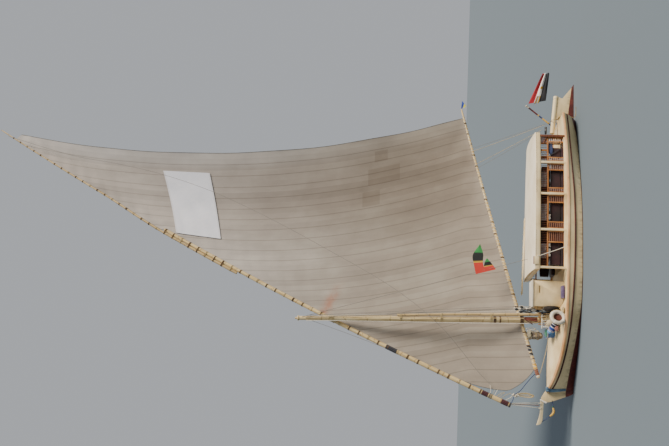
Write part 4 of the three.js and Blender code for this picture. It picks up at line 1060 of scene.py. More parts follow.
slats_tree.close(placed.outputs[0])


def points_mesh(rows):
    """A mesh of bare points, each row a place, a length and a turn."""
    mesh = bpy.data.meshes.new("points")
    mesh.from_pydata([row[0] for row in rows], [], [])
    mesh.attributes.new("length", "FLOAT", "POINT").data.foreach_set("value", [row[1] for row in rows])
    turns = np.array([row[2] for row in rows], np.float32).ravel()
    mesh.attributes.new("turned", "FLOAT_VECTOR", "POINT").data.foreach_set("vector", turns)
    return mesh


SLAT_TILT = math.radians(-38)
SLATS = 8
slat_rows, bar_rows = [], []
for index, start, end in PANELS:
    bay = bays[index]
    middle, length = (start + end) / 2 * bay.length, (end - start) * bay.length - 0.070
    for z in np.linspace(SILL_Z + 0.095, RAIL_Z - 0.065, SLATS):
        slat_rows.append((bay.place(middle, (LOUVRE_IN + LOUVRE_OUT) / 2, z), length,
                          (SLAT_TILT, 0, bay.turn)))
for z in np.linspace(0.740, RAIL_Z - 0.070, SLATS):
    slat_rows.append((screen.place((0.48 + SCREEN_HALF - 0.06) / 2, 0, z), SCREEN_HALF - 0.53,
                      (SLAT_TILT, 0, screen.turn)))
bar_height = EAVES_Z - 0.060 - RAIL_Z - 0.020
for bay, start, count in [(bay, 0.04, int(bay.length / 0.075)) for bay in bays] + [(screen, 0.50, 11)]:
    for u in np.linspace(start, bay.length - 0.06, count):
        z = RAIL_Z + 0.022 + bar_height / 2
        bar_rows.append((bay.place(u, (LOUVRE_IN + LOUVRE_OUT) / 2 if bay is not screen else 0.0, z),
                         bar_height + 0.01, (0, -math.pi / 2, bay.turn)))
slat_mesh = slats_tree.grow(points_mesh(slat_rows), Width=0.062, Thickness=0.012, Finish=VARNISH_SLAT)
both_sides("louvre_slats", slat_mesh, VARNISH_SLAT, "varnished_wood")
bar_mesh = slats_tree.grow(points_mesh(bar_rows), Width=0.020, Thickness=0.020, Finish=VARNISH_SLAT)
both_sides("frieze_bars", bar_mesh, VARNISH_SLAT, "varnished_wood")
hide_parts("aft_screen")

# %% [markdown]
# Painted posts with their sills and plates, the boards of the sole, and the table between the seats.

# %% Frames, sole and table
for side in ("port", "starboard"):
    eased(f"saloon_frame_{side}", "painted", CREAM_PLAIN, "cream_paint", 0.006)
eased("saloon_table", "varnished", VARNISH_SOLE, "varnished_wood", 0.006)
sole_bars = [block((-3.690, y, 0.0803), (0.990, y + 0.116, 0.102)) for y in np.arange(14) * 0.12 - 0.838]
piece("saloon_sole_boards", eased_bars(sole_bars, 0.003), VARNISH_SOLE, "hull", ["saloon_sole"],
      "varnished_wood")

# %% [markdown]
# The roof is a boarded deck with a painted fascia round it, and white canvas stretched over the top.
# The canvas is one cambered sheet that turns down a little at its hem.

# %% Roof
ROOF_FORE, ROOF_AFT = 1.180, -4.460
ROOF_OVERHANG, ROOF_CROWN, CANVAS_Z = 0.062, 0.090, 1.7506
eased("roof_fascia", "painted", CREAM_PLAIN, "cream_paint", 0.006)
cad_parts["roof_deck"].data.materials[0] = CREAM


def edge_y(edge, x):
    """Y at x on an edge whose points, (x, y), run from the bow aft."""
    return float(np.interp(x, [p[0] for p in reversed(edge)], [p[1] for p in reversed(edge)]))


def roof_half(x):
    return edge_y(POSTS, x) + ROOF_OVERHANG


def canvas_point(x, across):
    """A point on the canvas: across runs from -1 on starboard to 1 on port."""
    half = roof_half(x)
    sag = -0.006 * (1 - abs(math.sin(x * 2.4)) ** 0.5) * (1 - across ** 4)
    hem = -0.020 * smooth(abs(across), 0.975, 1.0)
    return (x, across * half, CANVAS_Z + 0.012 + ROOF_CROWN * (1 - across ** 2) + sag + hem)


canvas_xs = np.linspace(ROOF_FORE, ROOF_AFT, 96)
canvas_across = np.concatenate([np.linspace(-1, -0.96, 4), np.linspace(-0.9, 0.9, 33),
                                np.linspace(0.96, 1, 4)])
top = [[canvas_point(x, a) for a in canvas_across] for x in canvas_xs]
canvas_rings = [row + [(x, y, z - 0.007) for x, y, z in reversed(row)] for row in top]
canvas_mesh = lofted(canvas_rings, canvas_xs)
CANVAS_CLOTH = (5.64, 3.62)
roof_canvas = piece("roof_canvas_stretched", canvas_mesh, ROOF_CANVAS, "hull", ["roof_canvas"],
                    "white_canvas")
cloth_sheet(roof_canvas, flat=CANVAS_CLOTH,
            area=round(sum(2 * roof_half(x) for x in canvas_xs) / len(canvas_xs) * CANVAS_CLOTH[0], 2))


# %% [markdown]
# Seats and backs are long pads of foam in cotton covers, stitched across every sixty centimetres. The
# cover is tight at the piping and the stitches and rounds out between them.

# %% Seats and backs
SEAT_EDGE = [(0.960, 1.610), (-1.800, 1.610), (-3.120, 1.520), (-3.850, 1.410)]
SEAT_FORE, SEAT_AFT, SEAT_INNER = 0.960, -3.850, 0.900
SEAT_TOP, BACK_TOP, PAD_PITCH = 0.745, 1.145, 0.60


def seat_outer(x):
    return edge_y(SEAT_EDGE, x)


def pad_section(inner, outer, low, high, fullness):
    """A rounded oblong, (y, z), that shrinks a little where the stitches pull."""
    half_y = (outer - inner) / 2 * (0.985 + 0.015 * fullness)
    half_z = (high - low) / 2 * (0.84 + 0.16 * fullness)
    points = []
    for angle in np.arange(32) * 2 * math.pi / 32:
        c, s = math.cos(angle), math.sin(angle)
        points.append(((inner + outer) / 2 + half_y * math.copysign(abs(c) ** 0.32, c),
                       (low + high) / 2 + half_z * math.copysign(abs(s) ** 0.45, s)))
    return points


def long_pad(section):
    """A pad along the port side; section gives its four edges at x."""
    places = np.concatenate([np.linspace(SEAT_FORE - 0.002, SEAT_FORE - 0.03, 4),
                             np.linspace(SEAT_FORE - 0.06, SEAT_AFT + 0.06, 150),
                             np.linspace(SEAT_AFT + 0.03, SEAT_AFT + 0.002, 4)])
    rings = []
    for x in places:
        stitched = abs(math.sin(math.pi * (SEAT_FORE - x) / PAD_PITCH)) ** 0.4
        end = min(smooth(SEAT_FORE - x, -0.02, 0.05), smooth(x - SEAT_AFT, -0.02, 0.05))
        rings.append([(x, y, z) for y, z in pad_section(*section(x), stitched * (0.3 + 0.7 * end))])
    return lofted(rings, places)


seat_pad = long_pad(lambda x: (SEAT_INNER, seat_outer(x), 0.590, SEAT_TOP))
back_pad = long_pad(lambda x: (seat_outer(x) - 0.130, seat_outer(x), SEAT_TOP + 0.002, BACK_TOP))
# The covers' very dark maroon is partly the cloth's colour and partly painted shade under the roof.
for name, pad in (("seat_cushion", seat_pad), ("back_cushion", back_pad)):
    both_sides(f"{name}_stitched", pad, MAROON_AND_SHADE, "cushion_cloth", name, SOFT)

# %% [markdown]
# The loose cushion on the side deck is a flat cotton bag. It starts as a thin box and is blown up by a
# little air, with no weight: the cloth solver finds the puckers. Then it is scaled and set on the deck's
# slope.

# %% Deck cushion
def puffed(mesh, pressure, frames):
    """The mesh after some frames as cloth with air inside it."""
    holder = added("bag", mesh)
    cloth = holder.modifiers.new("cloth", "CLOTH")
    cloth.settings.quality = 8
    cloth.settings.mass = 0.25
    cloth.settings.use_pressure = True
    cloth.settings.uniform_pressure_force = pressure
    cloth.settings.tension_stiffness = cloth.settings.compression_stiffness = 30
    cloth.settings.bending_stiffness = 0.3
    cloth.settings.effector_weights.gravity = 0
    cloth.collision_settings.use_collision = False
    cloth.point_cache.frame_start, cloth.point_cache.frame_end = 1, frames
    for number in range(1, frames + 1):
        bpy.context.scene.frame_set(number)
    made = evaluated(holder)
    bpy.context.scene.frame_set(1)
    return made


def gridded_box(low, high, cuts):
    """A box whose faces are cut into a fine grid."""
    mesh = block(low, high)
    with opened(mesh) as shape:
        bmesh.ops.subdivide_edges(shape, edges=shape.edges, cuts=cuts, use_grid_fill=True)
    return mesh


bag = puffed(gridded_box((-0.245, -0.100, -0.030), (0.245, 0.100, 0.030), 20), 1.2, 24)
bag_points = np.array([v.co for v in bag.vertices])
print("deck cushion measures", np.ptp(bag_points, axis=0).round(3))
bag_scale = np.array((0.49, 0.235, 0.125)) / np.ptp(bag_points, axis=0)
for vertex in bag.vertices:
    x, y, z = np.array(vertex.co) * bag_scale
    vertex.co = (1.990 + x, 1.472 + y, 0.652 + z - 0.22 * y)
deck_cushion = piece("deck_cushion_sewn", bag, PURPLE, "hull", ["deck_cushion"], "purple_cloth", SOFT)


# %% [markdown]
# The deckhouse stands on the port side deck: flat painted walls, a white roof with a rounded edge, and
# a vent slot. The boarding plank lies on the saloon's roof, with battens nailed across it for grip.

# %% Deckhouse and boarding plank
eased("deckhouse_walls", "painted", CREAM_PLAIN, "cream_paint", 0.008)
eased("deckhouse_roof", "painted", WHITE_PAINT, "white_paint", 0.018)
battens = []
PLANK_TURN = Matrix.Translation((0, -1.250, 1.835)) @ Matrix.Rotation(-0.028, 4, "Y")
for x in np.arange(12) * 0.28 - 1.38:
    batten = block((x, -0.138, 0.0445), (x + 0.035, 0.138, 0.062))
    batten.transform(PLANK_TURN)
    battens.append(batten)
plank = joined(solid_copy("boarding_plank", 0.005), eased_bars(battens, 0.004))
piece("boarding_plank_battened", plank, CREAM_PLAIN, "hull", ["boarding_plank"], "cream_paint")

# %% [markdown]
# Round things on the deck are turned: a profile of radii and heights goes round an axis, and the whole
# is then tilted to where it leans.

# %% Turned things
def turned(profile, place, sides=36, closed=False):
    """A profile of (radius, height) round the Z axis of a place. V is the way along the profile."""
    angles = np.arange(sides) * 2 * math.pi / sides
    points = [(r * math.cos(a), r * math.sin(a), z) for r, z in profile for a in angles]
    run = list(run_along(profile))
    mesh = mesh_of(points, *tube_faces(len(profile), sides, closed, run + [run[-1] + 0.01]))
    mesh.transform(place)
    return facing_out(mesh)


TUB_PLACE = Matrix.Translation((3.560, 0.760, 0.862)) @ Matrix.Rotation(-0.2, 4, "X")
TUB = [(0.020, 0.004), (0.142, 0.002), (0.150, 0.010), (0.168, 0.170), (0.171, 0.172), (0.170, 0.180),
       (0.181, 0.292), (0.190, 0.296), (0.191, 0.322), (0.186, 0.330), (0.178, 0.330), (0.172, 0.300),
       (0.142, 0.020), (0.020, 0.016)]
piece("deck_tub_moulded", turned(TUB, TUB_PLACE), TUB_BLUE, "hull", ["deck_tub"], "tub_plastic")
rim = [(0.1915 + 0.0045 * math.cos(a), 0.312 + 0.014 * math.sin(a)) for a in np.arange(10) * math.pi / 5]
piece("deck_tub_rim", turned(rim, TUB_PLACE, 36, True), RING_WHITE, "hull", slot="tub_plastic")
heap = []
for i, height in enumerate(np.linspace(0, 1, 9)):
    heap.append((0.168 * math.cos(height * math.pi / 2) ** 0.7 + 0.001,
                 0.270 + 0.095 * math.sin(height * math.pi / 2)))
heap_mesh = turned([(0.02, 0.262)] + heap, TUB_PLACE, 48)
for vertex in heap_mesh.vertices:
    x, y, z = vertex.co
    vertex.co.z += 0.012 * math.sin(41 * x + 3) * math.sin(37 * y + 1) + 0.006 * math.sin(90 * x + 60 * y)
piece("cloth_in_tub", heap_mesh, GREEN_CLOTH, "hull", slot="tub_plastic", sharp_angle=SOFT)

# %% [markdown]
# An old tyre leans on the deckhouse as a fender, with worn grooves round its tread.

# %% Tyre
TYRE_PLACE = Matrix.Translation((2.6483, 1.345, 1.050)) @ Matrix.Rotation(math.pi / 2, 4, "Y")
tread = []
for z in np.linspace(-0.066, 0.066, 23):
    groove = 0.008 if abs(abs(z) - 0.024) < 0.004 else 0.0
    tread.append((0.291 - 5.5 * z * z * (1 if abs(z) < 0.05 else 1.25) - groove, z))
sidewall = [(0.252, 0.086), (0.215, 0.0865), (0.170, 0.074), (0.146, 0.062), (0.128, 0.058), (0.124, 0.048)]
inside = [(0.150, 0.040), (0.215, 0.060), (0.262, 0.045)]
half = sidewall + inside
TYRE = tread + half + [(r, -z) for r, z in reversed(half)]
piece("tyre_fender_worn", turned(TYRE, TYRE_PLACE, 56, True), TYRE_RUBBER, "hull", ["tyre_fender"],
      "tyre_rubber")

# %% [markdown]
# The life ring is a moulded shell that leans by the rail, with four cloth bands and a grab line.

# %% Life ring
RING_LEAN = Matrix.Rotation(0.42, 4, "Z") @ Matrix.Rotation(math.pi / 2 - 0.1, 4, "X")
RING_PLACE = Matrix.Translation((3.015, 1.830, 0.888)) @ RING_LEAN
RING_RADIUS, RING_TUBE = 0.235, 0.070


def on_ring(angle, out, up):
    """A point by the ring's tube: out from its middle line, and up along its axis."""
    return RING_PLACE @ Vector(((RING_RADIUS + out) * math.cos(angle),
                                (RING_RADIUS + out) * math.sin(angle), up))


ring_line = [on_ring(a, 0, 0) for a in np.arange(64) * math.pi / 32]
piece("life_ring_shell", swept(ring_line, RING_TUBE, 28, True), RING_WHITE, "hull", ["life_ring"],
      "ring_shell")
bands, grab = [], []
for quarter in np.arange(4) * math.pi / 2 + 0.6:
    bands.append(swept([on_ring(quarter + a, 0, 0) for a in np.linspace(-0.11, 0.11, 5)], RING_TUBE + 0.003,
                       28))
    for step in np.linspace(0, 1, 10, endpoint=False):
        slack = 4 * step * (1 - step)
        grab.append(on_ring(quarter + step * math.pi / 2, RING_TUBE + 0.008 + 0.014 * slack,
                            0.012 * math.sin(step * 6)))
piece("life_ring_bands", joined(*bands), WHITE_CLOTH, "hull", slot="ring_shell")
piece("life_ring_line", swept(grab, 0.006, 8, True), ROPE, "hull")

# %% [markdown]
# A striped mat is rolled up beside it: one woven sheet wound in a spiral, tied with two cords. V runs
# along the roll, so the stripes are rings round it.

# %% Rolled mat
MAT_START, MAT_END = np.array((3.560, 1.120, 1.080)), np.array((3.060, 1.400, 0.820))
MAT_RADIUS, MAT_CORE, MAT_PITCH, MAT_THICK = 0.128, 0.014, 0.0142, 0.007
MAT_PATTERN = 0.64  # the length of roll that the row of stripes is drawn for
MAT_RUN = MAT_END - MAT_START
MAT_AXIS = MAT_RUN / np.linalg.norm(MAT_RUN)
MAT_SIDE = np.cross(MAT_AXIS, (0, 0, 1.0))
MAT_SIDE /= np.linalg.norm(MAT_SIDE)
MAT_RISE = np.cross(MAT_SIDE, MAT_AXIS)
mat_finish = Finish("woven_reed_mat_striped", 0.8)
mat_v = mat_finish.split(mat_finish.uv)[1]
stripes = mat_finish.ramp(mat_finish.math("DIVIDE", mat_v, MAT_PATTERN), (0.0, "#5b86b4"),
                          (0.14, "#d8dade"), (0.17, "#1f3c92"), (0.42, "#e6e6e4"), (0.46, "#141a3a"),
                          (0.62, "#d9dadd"), (0.65, "#141a3a"), (0.80, "#dcdcdc"), (0.83, "#16204c"))
for node in mat_finish.tree.nodes:
    if node.bl_idname == "ShaderNodeValToRGB":
        node.color_ramp.interpolation = "CONSTANT"
reeds = mat_finish.math("PINGPONG", mat_v, 0.003)
MAT_CLOTH = mat_finish.done(stripes, reeds, 0.002, 0.4)


def by_mat(t, radius, angle):
    """A point round the roll's axis, t of the way along it."""
    return MAT_START + MAT_RUN * t + (MAT_SIDE * math.cos(angle) + MAT_RISE * math.sin(angle)) * radius


def rolled_mat():
    """The roll as one closed skin: its outline is the spiral outwards and, a cloth thinner, back again."""
    turns = (MAT_RADIUS - MAT_CORE) / MAT_PITCH
    spiral = []
    for angle in np.linspace(0, turns * 2 * math.pi, int(turns * 30)):
        spiral.append((MAT_CORE + MAT_PITCH * angle / (2 * math.pi), angle - 1.2))
    outline = spiral + [(r - MAT_THICK, a) for r, a in reversed(spiral)]
    places = np.linspace(0, 1, 15)
    length = float(np.linalg.norm(MAT_RUN))
    points = [by_mat(t, r, a) for t in places for r, a in outline]
    size, half_size = len(outline), len(spiral)
    faces, uvs = row_faces(len(places), size, lambda i, k: (k / size, places[i] * length))
    for i in (0, len(places) - 1):
        for k in range(half_size - 1):
            face = (i * size + k, i * size + k + 1, i * size + size - 2 - k, i * size + size - 1 - k)
            faces.append(face if i == 0 else face[::-1])
            uvs += [(0, places[i] * length)] * 4
    return facing_out(mesh_of(points, faces, uvs))


mat_roll = piece("mat_rolled", rolled_mat(), MAT_CLOTH, "hull", ["mat_roll"], "striped_mat")
mat_length = math.pi * (MAT_RADIUS ** 2 - MAT_CORE ** 2) / MAT_PITCH
cloth_sheet(mat_roll, flat=(round(mat_length, 2), 0.63))
ties = [swept([by_mat(t, MAT_RADIUS + 0.003, a) for a in np.arange(24) * math.pi / 12], 0.006, 8, True)
        for t in (0.24, 0.78)]
piece("mat_ties", joined(*ties), WHITE_ROPE, "hull")

# %% [markdown]
# The pin rail: two posts, a rail with belaying pins, and the hanks of rope that hang from them.

# %% Pin rail
RAIL_Y, POST_X, FORE_POST_X, BAR_Z = 1.000, 2.665, 3.330, 1.360
rail_parts = [swept([(FORE_POST_X, RAIL_Y, z) for z in (0.700, 1.000, 1.385, 1.398, 1.400)],
                    (0.022, 0.022, 0.022, 0.018, 0.008), 20),
              swept([(POST_X, RAIL_Y, z) for z in (0.700, 1.500, 2.436, 2.448, 2.450)],
                    (0.038, 0.038, 0.038, 0.030, 0.012), 20),
              swept([(x, RAIL_Y, BAR_Z) for x in (2.610, 2.613, 2.622, 3.388, 3.397, 3.400)],
                    (0.010, 0.020, 0.026, 0.026, 0.020, 0.010), 20)]
for z, reach in ((2.200, 0.150), (1.960, 0.160)):
    ends = (-reach, -reach + 0.006, reach - 0.006, reach)
    rail_parts.append(swept([(POST_X, RAIL_Y + y, z) for y in ends], (0.016, 0.024, 0.024, 0.016), 16))
piece("pin_rail_painted", joined(*rail_parts), WHITE_PAINT, "hull", ["pin_rail"], "white_paint")
PIN = [(-0.150, 0.008), (-0.140, 0.012), (0.034, 0.011), (0.036, 0.019), (0.050, 0.021), (0.095, 0.016),
       (0.128, 0.021), (0.145, 0.016), (0.150, 0.006)]
pins = []
PIN_XS = (2.80, 2.96, 3.12, 3.24)
for x in PIN_XS:
    pins.append(swept([(x, RAIL_Y, BAR_Z + z) for z, _ in PIN], [r for _, r in PIN], 12))
piece("belaying_pins", joined(*pins), VARNISH_UPRIGHT, "hull", slot="varnished_wood")


def hank(top, height, width, turns, thickness, seed):
    """A rope coiled in long loops and hung up by its top, as one mesh of closed loops."""
    rng = random.Random(seed)
    loops = []
    for k in range(turns):
        tall, wide = height * rng.uniform(0.86, 1.0), width * rng.uniform(0.75, 1.0)
        off = rng.uniform(-0.5, 0.5) * thickness * 3
        loop = []
        for a in np.arange(28) * 2 * math.pi / 28:
            drop = (1 - math.cos(a)) / 2
            x = wide / 2 * math.sin(a) * (0.45 + 0.55 * drop)
            loop.append((top[0] + x, top[1] + off + 0.012 * math.sin(a + k), top[2] - tall * drop))
        loops.append(swept(loop, thickness / 2, 8, True))
    return joined(*loops)


def hang_up(rows, body="hull"):
    """Hanks of rope, each with its name, its place, its measures and its finish."""
    for name, top, height, width, turns, thickness, seed, finish in rows:
        piece(name, hank(top, height, width, turns, thickness, seed), finish, body, slot="rope",
              sharp_angle=SOFT)


hang_up((
    ("hank_dark", (2.80, 1.040, 1.385), 0.36, 0.15, 7, 0.020, 3, DARK_WRAP),
    ("hank_hemp", (2.96, 1.040, 1.385), 0.44, 0.17, 7, 0.022, 4, ROPE),
    ("hank_white", (3.12, 1.040, 1.385), 0.46, 0.15, 6, 0.022, 5, WHITE_ROPE),
    ("hank_on_post", (POST_X + 0.06, 1.055, 2.210), 0.56, 0.17, 8, 0.022, 6, GREY_LINE),
    ("hank_under_post", (POST_X + 0.10, 1.040, 1.980), 0.46, 0.17, 7, 0.022, 7, WHITE_ROPE),
))


# %% [markdown]
# The mast rakes forward a little, and the rig swings round it, with the yard, the boom and the sail
# in one plane on its starboard side. So the poles are drawn in the mast's own frame or the
# rig's, where they are simple, and then moved into place.

# %% Mast and rig frames
MAST_FOOT = (2.940, 0.0, 0.850)
MAST_FRAME = Matrix.Translation(MAST_FOOT) @ Matrix.Rotation(math.radians(2.52), 4, "Y")
RIG_FRAME = MAST_FRAME @ Matrix.Rotation(math.radians(10), 4, "Z")
MAST_BASE, MAST_HEIGHT = 0.096, 10.290
RIG_OFFSET = -0.232


def on_mast(points):
    return [tuple(MAST_FRAME @ Vector(p)) for p in points]


def on_rig(points):
    return [tuple(RIG_FRAME @ Vector(p)) for p in points]


def mast_radius(z):
    return 0.125 - 0.043 * z / MAST_HEIGHT


def blended(points, steps):
    """More points along a line: the same line, cut finer."""
    points = np.asarray(points, float)
    places = np.linspace(0, len(points) - 1, steps + 1)
    return np.stack([np.interp(places, np.arange(len(points)), points[:, k])
                     for k in range(points.shape[1])], 1)


# %% [markdown]
# The mast is one trunk, thinner at the top, with a truck ring and a stub for the flag line. A thinner
# spar stands behind it and is held on by rope bands.

# %% Mast
mast_zs = np.linspace(MAST_BASE, MAST_HEIGHT, 41)
mast_line = [(0.004 * math.sin(z * 1.7), 0.004 * math.sin(z * 1.1 + 1), z) for z in mast_zs]
mast_trunk = swept(on_mast(mast_line), [mast_radius(z) + 0.0015 * math.sin(z * 5) for z in mast_zs], 32)
TRUCK = [(-0.050, 0.044), (0.0, 0.044), (0.001, 0.104), (0.012, 0.108), (0.048, 0.108), (0.060, 0.100),
         (0.061, 0.044), (0.155, 0.044), (0.160, 0.036)]
mast_top = swept(on_mast([(0, 0, MAST_HEIGHT + z) for z, _ in TRUCK]), [r for _, r in TRUCK], 24)
piece("mast_scraped", joined(mast_trunk, mast_top), MAST_POLE, "hull", ["mast"], "spar_wood")

SPAR_FOOT, SPAR_TOP = np.array((-0.215, 0.112, MAST_BASE + 0.010)), np.array((-0.160, 0.084, 6.200))
BAND_HEIGHTS = (0.48, 2.40, 4.40, 6.05)


def spar_at(z):
    return SPAR_FOOT + (SPAR_TOP - SPAR_FOOT) * (z - SPAR_FOOT[2]) / (SPAR_TOP[2] - SPAR_FOOT[2])


def spar_radius(z):
    return 0.058 - 0.016 * z / 6.2


spar_zs = np.linspace(SPAR_FOOT[2], SPAR_TOP[2], 25)
spar_line = [spar_at(z) + (0.006 * math.sin(z * 1.3), 0, 0) for z in spar_zs]
piece("halyard_spar_scraped", swept(on_mast(spar_line), [spar_radius(z) for z in spar_zs], 20), SPAR_POLE,
      "hull", ["halyard_spar"], "spar_wood")
band_turns = []
for z in BAND_HEIGHTS:
    reach = np.array(spar_at(z)[:2])
    axis = reach / np.linalg.norm(reach)
    normal = np.array((-axis[1], axis[0]))
    for k in range(4):
        loop = []
        for middle, radius, start, count in ((reach, spar_radius(z) + 0.010, -math.pi / 2, 9),
                                             (0 * reach, mast_radius(z) + 0.012, math.pi / 2, 13)):
            for angle in np.linspace(start, start + math.pi, count):
                loop.append(middle + radius * (axis * math.cos(angle) + normal * math.sin(angle)))
        band_turns.append(swept(on_mast([(x, y, z - 0.028 + 0.019 * k) for x, y in loop]), 0.0095, 8,
                                closed=True))
piece("spar_bands", joined(*band_turns), ROPE, "hull")

# %% [markdown]
# The yard is two poles lashed together, bent by the pull of the sail. The upper one lies along the
# fore side of the lower one and then runs into its line. The boom is a third, laced to the foot.

# %% Yard and boom
YARD_HEEL, YARD_PEAK, YARD_BOW = np.array((3.400, 1.740)), np.array((-9.340, 25.430)), 0.480
YARD_RUN = YARD_PEAK - YARD_HEEL
YARD_LENGTH = float(np.hypot(*YARD_RUN))
FORWARD = np.array((YARD_RUN[1], -YARD_RUN[0])) / YARD_LENGTH
UPPER_OFFSET, UPPER_START, LOWER_END, JOINED_END = 0.134, 0.47, 0.62, 0.76
BOOM_FORE, BOOM_AFT = np.array((2.300, 0.620)), np.array((-9.960, 3.370))
BOOM_RADII = (0.064, 0.062, 0.058, 0.052, 0.046, 0.036)


def upper_offset(t):
    return UPPER_OFFSET * (1 - smooth(t, LOWER_END, JOINED_END))


def on_yard(t, offset=0.0):
    """A point of the yard in the rig's frame, from its heel at 0 to its peak at 1."""
    x, z = YARD_HEEL + YARD_RUN * t + FORWARD * (YARD_BOW * 4 * t * (1 - t) + offset)
    return (x, RIG_OFFSET, z)


def on_boom(s, drop=0.0):
    x, z = BOOM_FORE + (BOOM_AFT - BOOM_FORE) * s
    return (x, RIG_OFFSET, z + 0.070 * 4 * s * (1 - s) - drop)


def lower_radius(t):
    return 0.092 - 0.020 * t / LOWER_END


def upper_radius(t):
    return 0.064 - 0.038 * (t - UPPER_START) / (1 - UPPER_START)


def boom_radius(s):
    return float(np.interp(s, np.linspace(0, 1, 6), BOOM_RADII))


def trunk(place, radius, start, end):
    """A pole with knots: radius swells by a millimetre or two here and there."""
    places = np.linspace(start, end, 61)
    swell = [0.0018 * math.sin(t * 160) + 0.0012 * math.sin(t * 71 + 2) for t in places]
    radii = [radius(t) + s for t, s in zip(places, swell)]
    radii[0] -= 0.010
    radii[-1] -= 0.010
    return swept(on_rig([place(t) for t in places]), radii, 24)


piece("yard_lower_scraped", trunk(on_yard, lower_radius, 0, LOWER_END), POLE, "rig", ["yard_lower"],
      "spar_wood")
upper_pole = trunk(lambda t: on_yard(t, upper_offset(t)), upper_radius, UPPER_START, 1)
piece("yard_upper_scraped", upper_pole, SPAR_POLE, "rig", ["yard_upper"], "spar_wood")
piece("boom_scraped", trunk(on_boom, boom_radius, 0, 1), POLE, "rig", ["boom"], "spar_wood")

# %% [markdown]
# The sail is one fine sheet. Its luff follows the yard, its foot follows the boom, its leech is a
# hollow curve, and the wind fills it to starboard. On that lie the smaller shapes: soft scallops
# between the robands, creases that run up from the foot, and pulls towards the tack and the clew.

# %% Sail shape
SAIL_BELLY, FOOT_INSET, FOOT_START, FOOT_END = 0.820, 0.034, 0.03, 0.96
# The luff starts at the boom, reaches the yard at TACK_T when TACK_PART of it is done, and ends at HEAD_T
TACK_T, HEAD_T, TACK_PART = 0.012, 0.962, 0.06
CLEW = on_boom(FOOT_END, -FOOT_INSET)
LEECH = [(CLEW[0], CLEW[2]), (-8.900, 5.500), (-8.350, 8.250), (-8.000, 11.250), (-7.900, 14.200),
         (-7.990, 17.100), (-8.260, 19.900), (-8.580, 22.000), (-9.060, 24.330)]


def leech_at(t):
    """A point on the leech: an even Catmull-Rom curve through its points."""
    place = t * (len(LEECH) - 1)
    i = min(int(place), len(LEECH) - 2)
    w = place - i
    p0, p1, p2, p3 = (np.array(LEECH[min(max(i + k, 0), len(LEECH) - 1)]) for k in (-1, 0, 1, 2))
    bend0, bend1 = (p2 - p0) / 2, (p3 - p1) / 2
    cubic, square = 2 * p1 - 2 * p2 + bend0 + bend1, 3 * p2 - 3 * p1 - 2 * bend0 - bend1
    return cubic * w ** 3 + square * w ** 2 + bend0 * w + p1


TACK_REACH, TACK_PULL, TACK_BULGE = 0.12, 0.620, 0.070


def luff_inset(t):
    """How far the luff stands off the yard's middle line: more near the heel, where only robands reach."""
    pull = TACK_PULL * max(0, 1 - t / TACK_REACH) ** 3
    return 0.060 - 0.042 * smooth(t, LOWER_END - 0.02, JOINED_END) + pull


def luff_at(t):
    if t > TACK_PART:
        up = TACK_T + (HEAD_T - TACK_T) * (t - TACK_PART) / (1 - TACK_PART)
        shift = upper_offset(up) if up > LOWER_END else 0.0
        return np.array(on_yard(up, shift - luff_inset(up)))[[0, 2]]
    low, high = np.array(on_boom(FOOT_START, -FOOT_INSET)), np.array(on_yard(TACK_T, -luff_inset(TACK_T)))
    q = t / TACK_PART
    return (low + (high - low) * q)[[0, 2]] + np.array((1, -1)) * TACK_BULGE * 4 * q * (1 - q)


ROBAND_PITCH = 0.45


def sail_point(s, t):
    """A point of the sail in the rig's frame, s from luff to leech and t from foot to head."""
    luff, leech = luff_at(t), leech_at(t)
    tack = on_boom(FOOT_START, -FOOT_INSET)
    foot = on_boom(FOOT_START + (FOOT_END - FOOT_START) * s, -FOOT_INSET)
    sag = (foot[2] - tack[2] - (CLEW[2] - tack[2]) * s) * (1 - t) ** 4
    belly = SAIL_BELLY * 4 * s * (1 - s) * math.sin(math.pi * t ** 0.55) * (1 - 0.35 * t)
    hold = min(s * 10, (1 - s) * 10, t * 30, 1.0)
    along = t * YARD_LENGTH
    width = float(np.hypot(*(leech - luff)))
    pull = math.exp(-s * width / 0.9) * 0.018 * math.cos(2 * math.pi * along / (2 * ROBAND_PITCH))
    crease = math.exp(-t * 20 / 2.2) * 0.020 * math.sin(s * width * 4.3 + t * 30)
    ripple = 0.014 * math.sin(s * width * 1.9 + t * 9) * math.sin(t * 23 + s * 3)
    edge = math.exp(-(1 - s) * width / 0.5) * 0.05 * math.sin(along * 1.3) * (1 - t)
    y = RIG_OFFSET - belly + hold * (pull + crease + ripple) + edge * min(t * 8, 1)
    return (luff[0] + (leech[0] - luff[0]) * s, y, luff[1] + (leech[1] - luff[1]) * s + sag)


LEECH_LINE = np.array([leech_at(t) for t in np.linspace(0, 1, 60)])


def leech_x(z):
    return float(np.interp(z, LEECH_LINE[:, 1], LEECH_LINE[:, 0]))


# %% [markdown]
# The sailcloth is faded cotton canvas in panels half a metre wide that run up parallel to the
# leech. U is the distance from the leech and V the height, so seams, stains and the shade of each
# panel are worked out from the two. Canvas lets some light through, but this finish is opaque.

# %% Sailcloth
PANEL = 0.52


